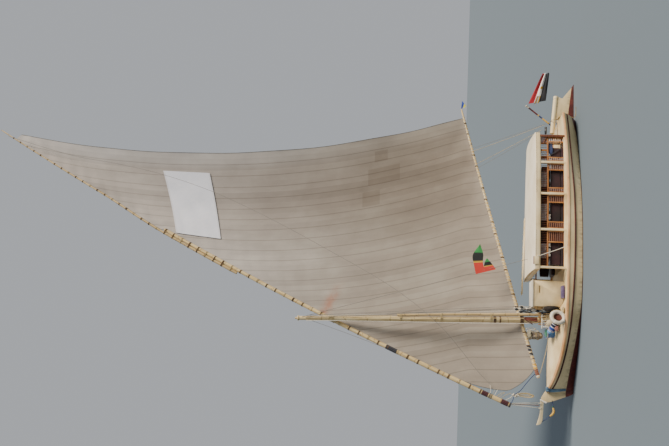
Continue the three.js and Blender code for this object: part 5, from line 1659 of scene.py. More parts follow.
def sailcloth():
    finish = Finish("faded_sail_canvas", 0.92, Sheen_Weight=0.15)
    u, v, w = finish.split(finish.uv)
    seam = finish.step(finish.math("PINGPONG", u, PANEL / 2), 0.004, 0.016)
    from_stitch = finish.math("ABSOLUTE", finish.minus(finish.math("PINGPONG", u, PANEL / 2), 0.028))
    stitch = finish.step(from_stitch, 0.0015, 0.005)
    panel = add_node(finish.tree, "ShaderNodeTexWhiteNoise", {"noise_dimensions": "1D"},
                     {"W": finish.math("FLOOR", finish.math("DIVIDE", finish.plus(u, PANEL / 2), PANEL))})
    cloud = finish.noise(finish.uv, 3.2, 5, 0.6)
    fine = finish.noise(finish.stretched(finish.uv, (1, 0.25, 1)), 0.35, 4)
    tone = finish.plus(finish.times(cloud, 0.6), finish.times(fine, 0.25))
    tone = finish.plus(tone, finish.times(panel.outputs["Value"], 0.15))
    high = finish.ramp(tone, (0.32, "#a49e99"), (0.5, "#b7b1ac"), (0.68, "#cbc5bf"))
    low = finish.ramp(tone, (0.32, "#857b70"), (0.5, "#958b7f"), (0.68, "#a69e92"))
    color = finish.mix(finish.step(v, 5.0, 18.0), low, high)
    shadow = finish.times(finish.step(u, 0.35, 0.9), finish.opposite(finish.step(u, 2.6, 6.0)))
    color = finish.darker(color, shadow, 0.55, "#c9bfb6")
    for left, low_edge, right, top_edge in ((2.35, 7.05, 3.05, 7.85), (1.35, 6.15, 2.10, 7.60),
                                            (0.60, 6.70, 1.10, 7.30)):
        inside = finish.times(finish.window(u, left, right), finish.window(v, low_edge, top_edge))
        color = finish.darker(color, inside, 0.4, "#cfc8c0")
    stain_u = finish.math("DIVIDE", finish.minus(7.90, u), 1.9)
    drift = finish.minus(v, finish.minus(9.30, finish.times(stain_u, 0.75)))
    spread = finish.opposite(finish.step(finish.math("ABSOLUTE", drift), 0.02, 0.42))
    aft_of_start = finish.times(spread, finish.step(stain_u, -0.12, 0.02))
    stain = finish.times(aft_of_start, finish.opposite(finish.step(stain_u, 0.1, 0.95)))
    rust = finish.step(finish.noise(finish.uv, 0.5, 5, 0.7), 0.25, 0.75)
    color = finish.mix(finish.times(finish.times(stain, rust), 0.85), color, linear("#a4613f"))
    color = finish.darker(color, finish.opposite(seam), 0.5, "#7d7265")
    color = finish.darker(color, finish.opposite(stitch), 0.18, "#7d7468")
    weave_u = finish.math("SINE", finish.times(u, 900.0))
    weave_v = finish.math("SINE", finish.times(v, 900.0))
    weave = finish.times(finish.times(weave_u, weave_v), 0.1)
    height = finish.plus(finish.minus(weave, seam), finish.times(fine, 0.4))
    return finish.done(color, height, 0.004, 0.6)


SAIL_CLOTH = sailcloth()
SAIL_COLUMNS, SAIL_ROWS = 72, 120


def sail_skin(front_gap, back_gap):
    """The sail as a closed sheet between two distances from its middle."""
    rows = [i / SAIL_ROWS for i in range(SAIL_ROWS + 1)]
    columns = [i / SAIL_COLUMNS for i in range(SAIL_COLUMNS + 1)]
    grid = [[sail_point(s, t) for s in columns] for t in rows]
    rings, uv_rings = [], []
    for row in grid:
        front = [(x, y + front_gap, z) for x, y, z in row]
        back = [(x, y - back_gap, z) for x, y, z in reversed(row)]
        rings.append(on_rig(front + back))
        flat = [(x - leech_x(z), z) for x, y, z in row]
        uv_rings.append(flat + flat[::-1])
    size = len(rings[0])
    faces, uvs = row_faces(len(rings), size, lambda r, i: uv_rings[r][i % size])
    for r in (0, len(rings) - 1):
        for i in range(size // 2 - 1):
            cap = (i, i + 1, size - 2 - i, size - 1 - i)[::-1 if r else 1]
            faces.append(tuple(r * size + k for k in cap))
            uvs += [uv_rings[r][k] for k in cap]
    return facing_out(mesh_of([p for ring in rings for p in ring], faces, uvs))


sail_piece = piece("sail_sewn", sail_skin(0.003, 0.003), SAIL_CLOTH, "rig", ["sail"], "sail_cloth", SOFT)


# %% [markdown]
# Cloths that fly or hang are patches between four edges, each edge a few points. Waves run across the
# patch, and the sheet gets a thin back so that it is closed.

# %% Cloth patches
def edge_curve(points, count):
    path = [(x, 0, z) for x, z in points]
    path = smooth_path(path, 0.01) if len(points) > 2 else blended(path, 30)
    return blended(path, count - 1)[:, [0, 2]]


def patch_points(top, bottom, columns, rows):
    """Places (x, z) between a top and a bottom edge that both start at the hoist."""
    upper, lower = edge_curve(top, columns + 1), edge_curve(bottom, columns + 1)
    return [[upper[i] * (1 - j / rows) + lower[i] * j / rows for i in range(columns + 1)]
            for j in range(rows + 1)]


def sheet_of(grid, thickness=0.004):
    """A closed thin sheet from rows of points. U runs along the rows and V across them, both from 0 to 1."""
    rows, columns = len(grid), len(grid[0])
    points = np.array([p for row in grid for p in row])
    mesh = mesh_of(points, *row_faces(rows, columns, lambda j, i: (i / (columns - 1), j / (rows - 1)), False))
    return facing_out(modified(mesh, ("SOLIDIFY", {"thickness": thickness, "offset": 0})))


def striped(name, *bands, weave=400.0):
    """Cloth whose colour changes along V at the given places, sewn in bands: (end, colour)."""
    finish = Finish(name, 0.85, Sheen_Weight=0.2)
    u, v, w = finish.split(finish.uv)
    color = None
    start = 0.0
    for end, code in bands:
        flat = add_node(finish.tree, "ShaderNodeRGB")
        flat.outputs[0].default_value = linear(code)
        if color is None:
            color = flat.outputs[0]
        else:
            color = finish.mix(finish.step(v, start - 0.004, start + 0.004), color, flat.outputs[0])
        start = end
    faded = finish.noise(finish.object, 0.2, 4)
    color = finish.mix(finish.times(finish.step(faded, 0.4, 0.75), 0.3), color, linear("#f2e8dc"),
                       "SOFT_LIGHT")
    threads = finish.times(finish.math("SINE", finish.times(u, weave)),
                           finish.math("SINE", finish.times(v, weave)))
    return finish.done(color, threads, 0.001, 0.3)


# %% [markdown]
# The national flag flies from a slanting staff at the stern. It streams aft and droops. Its staff is
# wrapped in coloured cords and has a white tip.

# %% Flag and staff
STAFF_Y = -0.430
STAFF_FOOT, STAFF_TOP = np.array((-5.260, STAFF_Y, 0.640)), np.array((-6.290, STAFF_Y, 1.900))
FLAG_TOP = [(-6.405, 1.832), (-6.840, 1.650), (-7.350, 1.440), (-7.800, 1.240)]
FLAG_BOTTOM = [(-6.560, 1.095), (-6.930, 1.045), (-7.300, 1.010), (-7.875, 0.935)]
FLAG_CLOTH = striped("sewn_flag_bunting", (0.32, "#b3202c"), (0.60, "#e9e6e0"), (1.0, "#14151d"))
flag_rows = patch_points(FLAG_TOP, FLAG_BOTTOM, 60, 30)
flag_grid = []
for j, row in enumerate(flag_rows):
    folds = [0.055 * ((i / 60) ** 0.6 * math.sin(i * 0.15 + j * 0.07)
                      + i / 60 * math.sin(j * 0.52 + i * 0.03)) for i in range(61)]
    flag_grid.append([(x, STAFF_Y + fold, z) for fold, (x, z) in zip(folds, row)])
flag = piece("flag_flying", sheet_of(flag_grid), FLAG_CLOTH, "hull", ["flag"], "flag_cloth", SOFT)
cloth_sheet(flag, flat=(1.50, 0.75))


def on_flag(u, v, out):
    row = flag_grid[int(round(v * 30))]
    x, y, z = row[int(round(u * 60))]
    return (x, y + out, z)


# A plain round badge and two narrow ribbons at the hoist, sewn on
badge_rings = []
for part in range(5):
    edge = ring_round((0.5, 0.5), (0.045 * part / 4, 0), (0, 0.12 * part / 4), 19)
    badge_rings.append([on_flag(u, v, 0.006) for u, v in edge])
GOLD_CLOTH = striped("sewn_badge_gold", (1.0, "#c99a2c"))
piece("flag_badge", sheet_of(badge_rings, 0.003), GOLD_CLOTH, "hull", slot="flag_cloth", sharp_angle=SOFT)
RIBBON = striped("sewn_ribbon_black_and_yellow", (0.33, "#17171b"), (0.67, "#d8a62a"), (1.0, "#17171b"))
for k, v0 in enumerate((0.36, 0.52)):
    ribbon = []
    for v in v0 + 0.12 * np.linspace(0, 1, 5):
        # Before the hoist the ribbon hangs free, towards the staff
        ribbon.append([np.add(on_flag(max(u, 0), v, 0.009), (0.6 * max(-u, 0), 0, 0.35 * max(-u, 0)))
                       for u in np.linspace(-0.10, 0.22, 11)])
    piece(f"flag_ribbon_{k}", sheet_of(ribbon, 0.003), RIBBON, "hull", slot="flag_cloth", sharp_angle=SOFT)

staff_run = STAFF_TOP - STAFF_FOOT
staff_line = [STAFF_FOOT + staff_run * t for t in np.linspace(0, 1, 12)]
piece("flag_staff_painted", swept(staff_line, [0.021] * 11 + [0.014], 20), CREAM_PLAIN, "hull",
      ["flag_staff"], "cream_paint")
STAFF_WRAPS = [
    ("low", 0.05, 0.24, NAVY_ROPE), ("middle", 0.25, 0.46, YELLOW_WRAP), ("navy", 0.48, 0.58, NAVY_ROPE),
    ("ring", 0.585, 0.62, YELLOW_WRAP), ("red", 0.63, 0.80, RED_WRAP), ("high", 0.80, 0.93, MAROON_WRAP),
]
for name, start, end, finish in STAFF_WRAPS:
    wrap = [STAFF_FOOT + staff_run * t for t in np.linspace(start, end, 12)]
    piece(f"staff_wrap_{name}", swept(wrap, 0.036, 20), finish, "hull", slot="cream_paint")
tip_line = [STAFF_TOP + staff_run * (t / 1.627) for t in (-0.03, 0.0, 0.02, 0.045, 0.055)]
piece("staff_tip", swept(tip_line, (0.030, 0.046, 0.050, 0.036, 0.010), 20), RING_WHITE, "hull",
      slot="white_paint")
LAMP_XS = (-4.600, -4.604, -4.620, -4.700, -4.704, -4.724, -4.728, -4.850, -4.880, -4.900)
lamp_line = [(x, 0.900, 1.270) for x in LAMP_XS]
lamp_body = swept(lamp_line, (0.030, 0.042, 0.046, 0.046, 0.048, 0.048, 0.046, 0.046, 0.048, 0.044), 24)
lamp_arm = swept([(x, 0.900, 1.270) for x in (-4.3610, -4.500, -4.610)], 0.013, 12)
piece("stern_lamp_housing", joined(lamp_body, lamp_arm), LAMP_BLACK, "hull", ["stern_lamp"], "lamp_black")

# %% [markdown]
# A small tricolour flag with two torn tails flies from a line that comes down from the masthead.

# %% Line flag
LINE_FLAG_Y = 0.221
HOIST_TOP, HOIST_LOW = (1.245, 3.918), (1.012, 3.118)
line_head = np.array((-0.5, 0.866, 0)) * (mast_radius(10.150) + 0.0086)
LINE_TOP = MAST_FRAME @ Vector((line_head[0], line_head[1], 10.150))
line("masthead_line", sagging((0.520, 0.250, 1.790), LINE_TOP, 0.0, 24), 0.016, GREY_LINE, "hull",
     stands_for=["line_flag"])
flag_finish = Finish("sewn_pennant_bunting", 0.85, Sheen_Weight=0.2)
pennant_u = flag_finish.split(flag_finish.uv)[0]
pennant = flag_finish.ramp(pennant_u, (0.0, "#c8372c"), (0.34, "#c8372c"), (0.36, "#e0b33a"),
                           (0.42, "#1c1d20"), (0.66, "#1d2220"), (0.70, "#2f8a45"), (1.0, "#3c9a50"))
PENNANT_CLOTH = flag_finish.done(pennant, flag_finish.noise(flag_finish.object, 0.05, 3), 0.002, 0.3)
tail_parts = []
for top_edge, low_edge in (([HOIST_TOP, (0.860, 4.005), (0.474, 4.065), (-0.015, 3.772)],
                            [(1.130, 3.520), (0.780, 3.640), (0.420, 3.640), (-0.010, 3.768)]),
                           ([(1.130, 3.524), (0.880, 3.600), (0.665, 3.545), (0.568, 3.483)],
                            [HOIST_LOW, (0.920, 3.180), (0.820, 3.255), (0.564, 3.478)])):
    rows = patch_points(top_edge, low_edge, 40, 16)
    grid = [[(x, LINE_FLAG_Y + 0.030 * (i / 40) * math.sin(i / 40 * 8 + j / 16 * 3), z)
             for i, (x, z) in enumerate(row)] for j, row in enumerate(rows)]
    tail_parts.append(sheet_of(grid))
line_flag = piece("line_flag_flying", joined(*tail_parts), PENNANT_CLOTH, "hull", slot="flag_cloth",
                  sharp_angle=SOFT)
cloth_sheet(line_flag, flat=(1.30, 0.84), area=0.80)

# %% [markdown]
# A plain white cloth banner is laced to the sail high up, and a small two-coloured pennant flies from
# the boom's aft end. The banner follows the sail, so its points are looked up on the sail itself.

# %% Banner and boom pennant
sail_rows = [[sail_point(i / 60, j / 100) for i in range(61)] for j in range(101)]
sail_faces = [(j * 61 + i, j * 61 + i + 1, (j + 1) * 61 + i + 1, (j + 1) * 61 + i) for j in range(100)
              for i in range(60)]
SAIL_TREE = BVHTree.FromPolygons([p for row in sail_rows for p in row], sail_faces)


def on_sail(x, z, off):
    """A point off the sail's port face at x and z in the rig's frame."""
    found = SAIL_TREE.ray_cast(Vector((x, 3.0, z)), Vector((0, -1, 0)))
    y = found[0].y if found[0] else RIG_OFFSET
    return (x, y + off, z)


BANNER = [(-3.950, 16.090), (-7.140, 17.140), (-7.000, 14.920), (-3.770, 14.110)]
banner_corners = [np.array(c) for c in BANNER]
banner_grid = []
for w in np.linspace(0, 1, 25):
    start = banner_corners[0] * (1 - w) + banner_corners[3] * w
    end = banner_corners[1] * (1 - w) + banner_corners[2] * w
    row = []
    for u in np.linspace(0, 1, 41):
        x, z = start * (1 - u) + end * u
        lift = 0.040 + 0.010 * math.sin(u * 14 + w * 3) * math.sin(w * 7 + 1) * min(u, 1 - u, w, 1 - w) * 6
        row.append(on_sail(x, z, lift))
    banner_grid.append(on_rig(row))
BANNER_CLOTH = striped("sewn_banner_cotton_white", (0.035, "#d6d5dc"), (0.965, "#dfe0ea"), (1.0, "#d6d5dc"))
banner = piece("banner_on_sail", sheet_of(banner_grid), BANNER_CLOTH, "rig", slot="sail_cloth",
               sharp_angle=SOFT)
cloth_sheet(banner, flat=(3.34, 2.13))
pennant_rows = patch_points([(-6.650, 4.660), (-7.040, 4.630)], [(-6.720, 4.520), (-6.800, 4.440)], 24, 10)
pennant_grid = [[(x, -1.900 + 0.02 * math.sin(i / 24 * 7 + j / 4), z) for i, (x, z) in enumerate(row)]
                for j, row in enumerate(pennant_rows)]
BOOM_PENNANT = striped("sewn_pennant_blue_and_yellow", (0.55, "#243f9a"), (1.0, "#d8cf3e"))
boom_pennant = piece("boom_pennant_flying", sheet_of(pennant_grid, 0.003), BOOM_PENNANT, "rig",
                     slot="flag_cloth", sharp_angle=SOFT)


# %% [markdown]
# Hundreds of short ropes hold the rig together: robands, lacing, bolt ropes and seizings. One tree
# turns bare edges into rope of a given thickness, so each of them is only a row of points.

# %% Rope grown on edges
def lashing(name, dark, light):
    """Thin rope wound so tightly that only its dirt and its bumps show."""
    finish = Finish(name, 0.85, Sheen_Weight=0.25)
    dirt = finish.noise(finish.object, 0.15, 4)
    color = finish.ramp(dirt, (0.3, dark), (0.7, light))
    return finish.done(color, finish.noise(finish.object, 0.012, 2), 0.002, 0.6)


HEMP_TURNS = lashing("hemp_lashing", "#8f7950", "#dcc795")
WHITE_TURNS = lashing("cotton_lashing_white", "#c2b293", "#f1e8d2")
BROWN_TURNS = lashing("tarred_lashing_brown", "#3b2a1c", "#75593a")
GREY_TURNS = lashing("tarred_lashing_grey", "#3f3c38", "#6f6a62")

cord_growth = Growth("rope_on_edges", Thickness="NodeSocketFloat", Finish="NodeSocketMaterial")
as_curve = cord_growth.add("GeometryNodeMeshToCurve", None, {"Mesh": cord_growth.inputs["Start"]})
half = cord_growth.add("ShaderNodeMath", {"operation": "MULTIPLY"},
                       {0: cord_growth.inputs["Thickness"], 1: 0.5})
section = cord_growth.add("GeometryNodeCurvePrimitiveCircle", None,
                          {"Resolution": 6, "Radius": half.outputs[0]})
roped = cord_growth.add("GeometryNodeCurveToMesh", None,
                        {"Curve": as_curve.outputs[0], "Profile Curve": section.outputs[0],
                         "Fill Caps": True})
cord_growth.close(roped.outputs[0])


def ropes_on(name, paths, thickness, finish, body, stands_for=()):
    """Many ropes of one thickness as one piece."""
    mesh = facing_out(cord_growth.grow(edges_of(paths), Thickness=thickness, Finish=finish))
    piece(name, mesh, None, body, stands_for, "rope", SOFT)


def loop_round(first, first_radius, second, second_radius, axis, normal, steps=9):
    """A closed loop round two poles: axis points from the first to the second, normal across both."""
    first, second, axis, normal = (np.asarray(v, float) for v in (first, second, axis, normal))
    loop = [second + second_radius * (axis * math.cos(a) + normal * math.sin(a))
            for a in np.linspace(-math.pi / 2, math.pi / 2, steps)]
    loop += [first + first_radius * (axis * math.cos(a) + normal * math.sin(a))
             for a in np.linspace(math.pi / 2, 1.5 * math.pi, steps)]
    return loop + loop[:1]


# %% [markdown]
# A roband every 45 centimetres ties the luff to the yard: two turns round whatever poles are there, and
# a leg to the sail where it stands off. A thick bolt rope runs round the sail's whole edge, and a
# white lacing winds round the boom through the foot.

# %% Robands, bolt rope and lacing
YARD_AXIS, ACROSS_RIG = (FORWARD[0], 0, FORWARD[1]), (0, 1, 0)


def yard_poles(t):
    """The yard's two poles at t, each as middle and radius; the same one twice where it is alone."""
    low = (on_yard(t), lower_radius(t))
    high = (on_yard(t, upper_offset(t)), upper_radius(max(t, UPPER_START)))
    if t < UPPER_START:
        return low, low
    return (low, high) if t < LOWER_END else (high, high)


def round_yard(t, gap):
    (first, first_radius), (second, second_radius) = yard_poles(t)
    return on_rig(loop_round(first, first_radius + gap, second, second_radius + gap, YARD_AXIS, ACROSS_RIG))


roband_turns, tarred_turns, roband_legs = [], [], []
for k, t in enumerate(np.arange(0.030, 0.968, ROBAND_PITCH / YARD_LENGTH)):
    turns = tarred_turns if k % 3 else roband_turns
    turns += [round_yard(t + n * 0.0007, 0.006) for n in range(4 if k % 4 == 0 else 3)]
    if luff_inset(t) > lower_radius(t):
        x, z = luff_at(TACK_PART + (1 - TACK_PART) * (t - TACK_T) / (HEAD_T - TACK_T))
        near = np.array(on_yard(t, -lower_radius(t) - 0.006))
        for side in (-0.012, 0.012):
            roband_legs.append(on_rig([near + (0, side, 0), (x, RIG_OFFSET + side / 2, z)]))
ropes_on("robands_hemp", roband_turns, 0.016, HEMP_TURNS, "rig")
ropes_on("robands_tarred", tarred_turns, 0.018, BROWN_TURNS, "rig")
ropes_on("roband_legs", roband_legs, 0.010, HEMP_TURNS, "rig")

edge_rows = np.linspace(0, 1, 160)
luff_edge = [sail_point(0, t) for t in edge_rows]
leech_edge = [sail_point(1, t) for t in edge_rows]
foot_edge = [sail_point(s, 0) for s in np.linspace(0, 1, 60)]
ropes_on("bolt_rope", [on_rig(luff_edge), on_rig(foot_edge), on_rig(leech_edge)], 0.022, GREY_TURNS, "rig")

LACING_PITCH, SEIZING_PITCH, BOOM_LENGTH = 0.150, 0.55, float(np.hypot(*(BOOM_AFT - BOOM_FORE)))
lacing_path = []
for s in np.arange(0.034, 0.975, LACING_PITCH / BOOM_LENGTH / 14):
    angle = s * BOOM_LENGTH / LACING_PITCH * 2 * math.pi
    x, y, z = on_boom(s)
    reach = boom_radius(s) + 0.011
    lacing_path.append((x, y + reach * math.cos(angle), z + reach * math.sin(angle)))
ropes_on("foot_lacing", [on_rig(lacing_path)], 0.024, WHITE_TURNS, "rig")
boom_turns = []
for s in np.arange(0.060, 0.97, SEIZING_PITCH / BOOM_LENGTH):
    reach = boom_radius(s) + 0.012
    boom_turns += [on_rig(ring_round(on_boom(s + n * 0.0014), (0, reach, 0), (0, 0, reach), 15))
                   for n in range(3)]
ropes_on("boom_seizings", boom_turns, 0.016, BROWN_TURNS, "rig")

# %% [markdown]
# Wrappings guard the poles where ropes rub: dark red and black cord near the yard's heel, and brown,
# yellow and black cord with a white ball at the boom's fore end. Each is one skin that swells at
# every turn.


# %% Wrappings
WRAP_TURN, WRAP_THICK = 0.028, 0.012


def wrapping(name, place, radius, length, start, end, finish, slot):
    """Cord wound on a pole from start to end, in metres from the pole's first end."""
    count = max(int(round((end - start) / WRAP_TURN)), 2) * 4
    places = np.linspace(start, end, count + 1) / length
    swell = WRAP_THICK * (0.6 + 0.4 * np.abs(np.sin(np.arange(count + 1) * math.pi / 4)))
    swell[[0, -1]] = 0.002
    skin = swept(on_rig([place(t) for t in places]), [radius(t) + s for t, s in zip(places, swell)], 24)
    piece(name, skin, finish, "rig", [], slot)


YARD, BOOM_POLE = (on_yard, lower_radius, YARD_LENGTH), (on_boom, boom_radius, BOOM_LENGTH)
WRAPPINGS = [
    ("heel_cap", YARD, 0.012, 0.075, DARK_WRAP, "lamp_black"),
    ("heel_wrap", YARD, 0.115, 0.395, MAROON_WRAP, "dark_red_paint"),
    ("heel_seizing", YARD, 0.790, 0.910, DARK_WRAP, "lamp_black"),
    ("yard_wrap", YARD, 0.955, 1.210, MAROON_WRAP, "dark_red_paint"),
    ("yard_wrap_black", YARD, 4.930, 5.420, DARK_WRAP, "lamp_black"),
    ("boom_wrap_brown", BOOM_POLE, 0.095, 0.345, BROWN_WRAP, "spar_wood"),
    ("boom_wrap_fore", BOOM_POLE, 0.360, 0.560, YELLOW_WRAP, "orange_wrap"),
    ("boom_wrap_black", BOOM_POLE, 0.900, 1.020, DARK_WRAP, "lamp_black"),
    ("boom_wrap_long", BOOM_POLE, 1.080, 1.370, DARK_WRAP, "lamp_black"),
]
for name, pole, start, end, finish, slot in WRAPPINGS:
    wrapping(name, *pole, start, end, finish, slot)
BALL = [(0, 0.020), (0.008, 0.048), (0.030, 0.070), (0.060, 0.076), (0.090, 0.070), (0.105, 0.050)]
ball_mesh = swept(on_rig([on_boom(s / BOOM_LENGTH) for s, _ in BALL]), [r for _, r in BALL], 20)
piece("boom_end_ball", ball_mesh, RING_WHITE, "rig", slot="white_paint")

# %% [markdown]
# Two parrels hold the yard and the boom against the mast. Each is turns of thick rope round both,
# loose enough on the mast's side to turn with the rig.

# %% Parrels
PARREL_ROPE, MAST_SLACK, TOWARDS_POLE, ALONG_DECK = 0.024, 0.010, (0, -1, 0), (1, 0, 0)
YARD_SLOPE = math.hypot(*YARD_RUN) / YARD_RUN[1]
yard_parrel = []
for z in np.linspace(8.842, 9.018, 8):
    t = float(np.interp(z, [on_yard(q)[2] for q in (0.25, 0.40)], (0.25, 0.40)))
    pole = (on_yard(t)[0], RIG_OFFSET, z)
    reach = mast_radius(z) + MAST_SLACK + PARREL_ROPE / 2
    yard_parrel.append(on_rig(loop_round((0, 0, z), reach, pole, (lower_radius(t) + 0.013) * YARD_SLOPE,
                                         TOWARDS_POLE, ALONG_DECK, 13)))
ropes_on("yard_parrel", yard_parrel, PARREL_ROPE, HEMP_TURNS, "rig", stands_for=["yard_collar"])
boom_parrel = []
for z in np.linspace(1.122, 1.238, 6):
    reach = mast_radius(z) + MAST_SLACK + PARREL_ROPE / 2
    boom_parrel.append(on_rig(ring_round((0, 0, z), (reach, 0, 0), (0, reach, 0), 29)))
crossing = -BOOM_FORE[0] / (BOOM_AFT - BOOM_FORE)[0]
for n in range(6):
    middle = on_boom(crossing + (n - 2.5) * PARREL_ROPE / BOOM_LENGTH)
    reach = boom_radius(crossing) + PARREL_ROPE / 2
    boom_parrel.append(on_rig(ring_round(middle, (0, reach, 0), (0, 0, reach), 17)))
mast_turns = []
for z in (2.020, 2.040, 2.060, 2.210, 2.230, 2.250, 2.270, 2.290):
    reach = mast_radius(z) + 0.010
    mast_turns.append(on_mast(ring_round((0, 0, z), (reach, 0, 0), (0, reach, 0), 25)))
ropes_on("mast_turns_brown", mast_turns, 0.022, BROWN_TURNS, "hull")
neck = mast_radius(1.18) + 0.036
for n in range(3):
    boom_parrel.append(on_rig(ring_round((0, -neck - n * 0.012, 1.180), (0.045, 0, 0), (0, 0, 0.045), 17)))
ropes_on("boom_parrel", boom_parrel, PARREL_ROPE, BROWN_TURNS, "rig", stands_for=["boom_collar"])


# %% [markdown]
# The standing and running lines. Those between the hull and the rig are held at both ends, so when
# the rig swings they stretch from the one to the other, as a sheet is paid out.

# %% Lines of the rig
def rig_point(x, z, off=0.0):
    return tuple(RIG_FRAME @ Vector((x, RIG_OFFSET + off, z)))


def from_rig_to_hull(name, start, end, sag, diameter, finish):
    """A line from a point on the rig to a point on the hull."""
    line(name, sagging(start, end, sag, 20), diameter, finish, ("rig", "hull", start, end))


HEEL, BEAK_TOP = rig_point(3.345, 1.700), 1.315
for name, x, y, sag, diameter, finish in (("heel_rope_fore", 6.430, 0.060, 0.0, 0.026, WHITE_ROPE),
                                          ("heel_rope_aft", 6.235, 0.070, 0.0, 0.026, WHITE_ROPE),
                                          ("heel_rope_far", 6.330, -0.055, 0.0, 0.024, BROWN_WRAP),
                                          ("heel_rope_slack", 6.290, 0.060, 0.035, 0.018, WHITE_ROPE)):
    from_rig_to_hull(name, (HEEL[0] + (x - 6.33) * 0.3, HEEL[1] + y * 0.5, HEEL[2]), (x, y, BEAK_TOP), sag,
                     diameter, finish)
beak_turns = []
for x in (6.235, 6.262, 6.403, 6.430, 6.457):
    top = BEAK_TOP + 0.008
    beak_turns.append([(x, 0.075, 1.230), (x, 0.072, top - 0.02), (x, 0.040, top), (x, -0.040, top),
                       (x, -0.072, top - 0.02), (x, -0.075, 1.230)])
ropes_on("beak_turns", beak_turns, 0.024, WHITE_TURNS, "hull")
MAINSHEETS = [(-6.950, 2.735, (-5.091, -0.300, 1.341), 0.014, GREY_LINE),
              (-7.150, 2.780, (-5.180, -0.300, 1.290), 0.015, ROPE),
              (-7.920, 2.960, (-5.456, -0.300, 1.136), 0.014, GREY_LINE),
              (-7.780, 2.930, (-5.400, -0.280, 1.170), 0.015, ROPE)]
for k, (x, z, foot, diameter, finish) in enumerate(MAINSHEETS):
    from_rig_to_hull(f"mainsheet_{k}", rig_point(x, z), foot, 0.03, diameter, finish)
from_rig_to_hull("boom_guy", rig_point(2.150, 0.560), (3.560, 0.200, deck_z(hull_at(3.560), 0.200) + 0.03),
                 0.03, 0.022, ROPE)
from_rig_to_hull("mast_to_yard_line", rig_point(1.137, 6.830, 0.08),
                 tuple(MAST_FRAME @ Vector((0.100, 0.040, 9.760))), 0.05, 0.016, GREY_LINE)

KNOT = rig_point(3.000, 1.600, 0.03)
navy_route = [(3.330, 1.735), (3.170, 1.650), (3.000, 1.585), (2.830, 1.361), (2.530, 1.104),
              (2.300, 0.900), (2.150, 0.745)]
line("tack_rope_navy", smooth_path([rig_point(x, z, 0.06) for x, z in navy_route], 0.03), 0.030, NAVY_ROPE,
     "rig", 10, "navy_rope")
piece("tack_knot", joined(knot(KNOT, 0.085, 0.040, (0.4, 1.2, 0)),
                          knot((KNOT[0] + 0.03, KNOT[1], KNOT[2] - 0.09), 0.06, 0.034, (1.2, 0, 0))),
      WHITE_ROPE, "rig")
line("knot_to_yard", sagging(rig_point(3.010, 1.640, 0.03), rig_point(3.200, 1.930, 0.03), 0.03, 8), 0.024,
     WHITE_ROPE, "rig")
hung = rig_point(3.000, 1.500, 0.05)
piece("tack_hank", joined(hank(hung, 0.66, 0.20, 7, 0.020, 21),
                          hank((hung[0] - 0.04, *hung[1:]), 0.58, 0.16, 5, 0.018, 22)), ROPE, "rig",
      sharp_angle=SOFT)
piece("tack_hank_ties", knot((hung[0], hung[1], hung[2] - 0.03), 0.05, 0.030, (0, 1.4, 0)), WHITE_ROPE, "rig")
slack_loops = [[(3.10, 2.20), (2.98, 2.05), (2.90, 1.95), (2.95, 2.12), (3.06, 2.28)],
               [(2.95, 2.52), (2.78, 2.50), (2.62, 2.52)], [(3.14, 2.12), (3.00, 1.90), (2.93, 1.72)],
               [(3.03, 2.36), (2.88, 2.28), (2.80, 2.22)]]
for k, route in enumerate(slack_loops):
    line(f"heel_lacing_{k}", smooth_path([rig_point(x, z, 0.05) for x, z in route], 0.03), 0.018,
         WHITE_ROPE if k % 2 else ROPE, "rig")

VANG = [(2.600, 2.530), (2.179, 2.922), (0.435, 4.381), (-1.095, 6.147), (-3.211, 9.459), (-4.798, 12.327),
        (-5.907, 14.646), (-6.774, 17.021), (-7.380, 19.364), (-7.774, 21.322), (-8.900, 24.900)]
vang_path = smooth_path([rig_point(x, z, 0.47 if -1.2 < x < 1.0 else 0.14) for x, z in VANG], 0.25)
line("peak_vang", vang_path, 0.016, GREY_LINE, "rig", 6)

# %% [markdown]
# Halyards come down beside the mast and are made fast at its foot. Thin falls run from the masthead
# to the blocks that hang on the port side, over the pin rail.

# %% Halyards and blocks
SHROUD_FOOT = (2.665, 1.000, 2.452)
shroud_head = tuple(MAST_FRAME @ Vector((-0.010, mast_radius(10.0) + 0.011, 10.0)))
line("port_shroud_line", sagging(SHROUD_FOOT, shroud_head, 0.0, 20), 0.018, GREY_LINE, "hull", 8, "rope",
     ["port_shroud"])
MAST_LINES = [("halyard_fore", [(0.150, 0.100, 0.600), (0.160, 0.085, 1.180), (0.158, 0.075, 3.000),
                                (0.105, 0.135, 9.100), (0.100, 0.040, 9.980)], 0.024, WHITE_ROPE),
              ("halyard_middle", [(-0.030, 0.185, 0.700), (-0.035, 0.185, 1.180), (-0.045, 0.165, 3.050),
                                  (-0.040, 0.152, 9.100), (-0.020, 0.100, 9.980)], 0.022, ROPE),
              ("halyard_aft", [(-0.118, 0.128, 6.400), (-0.105, 0.115, 9.100), (-0.070, 0.075, 9.980)],
               0.018, ROPE)]
for name, route, diameter, finish in MAST_LINES:
    line(name, smooth_path(on_mast(route), 0.2), diameter, finish, "hull")
FALLS = [("fall_aft", (-0.100, 0.075, 9.950), (2.690, 0.985, 2.300), GREY_LINE),
         ("fall_white", (-0.080, 0.090, 9.900), (2.735, 0.990, 2.220), WHITE_ROPE),
         ("fall_outer", (-0.120, 0.060, 9.850), (2.560, 1.000, 2.240), GREY_LINE)]
for name, head, foot, finish in FALLS:
    line(name, sagging(tuple(MAST_FRAME @ Vector(head)), foot, 0.0, 20), 0.014, finish, "hull")


BLOCK_HEIGHT, BLOCK_WIDTH = 0.150, 0.085
# The oval of a block's cheek: places along its height and how much of its width it has there
CHEEK = [(-0.5, 0.18), (-0.42, 0.62), (-0.2, 0.95), (0.0, 1.0), (0.2, 0.95), (0.42, 0.62), (0.5, 0.18)]


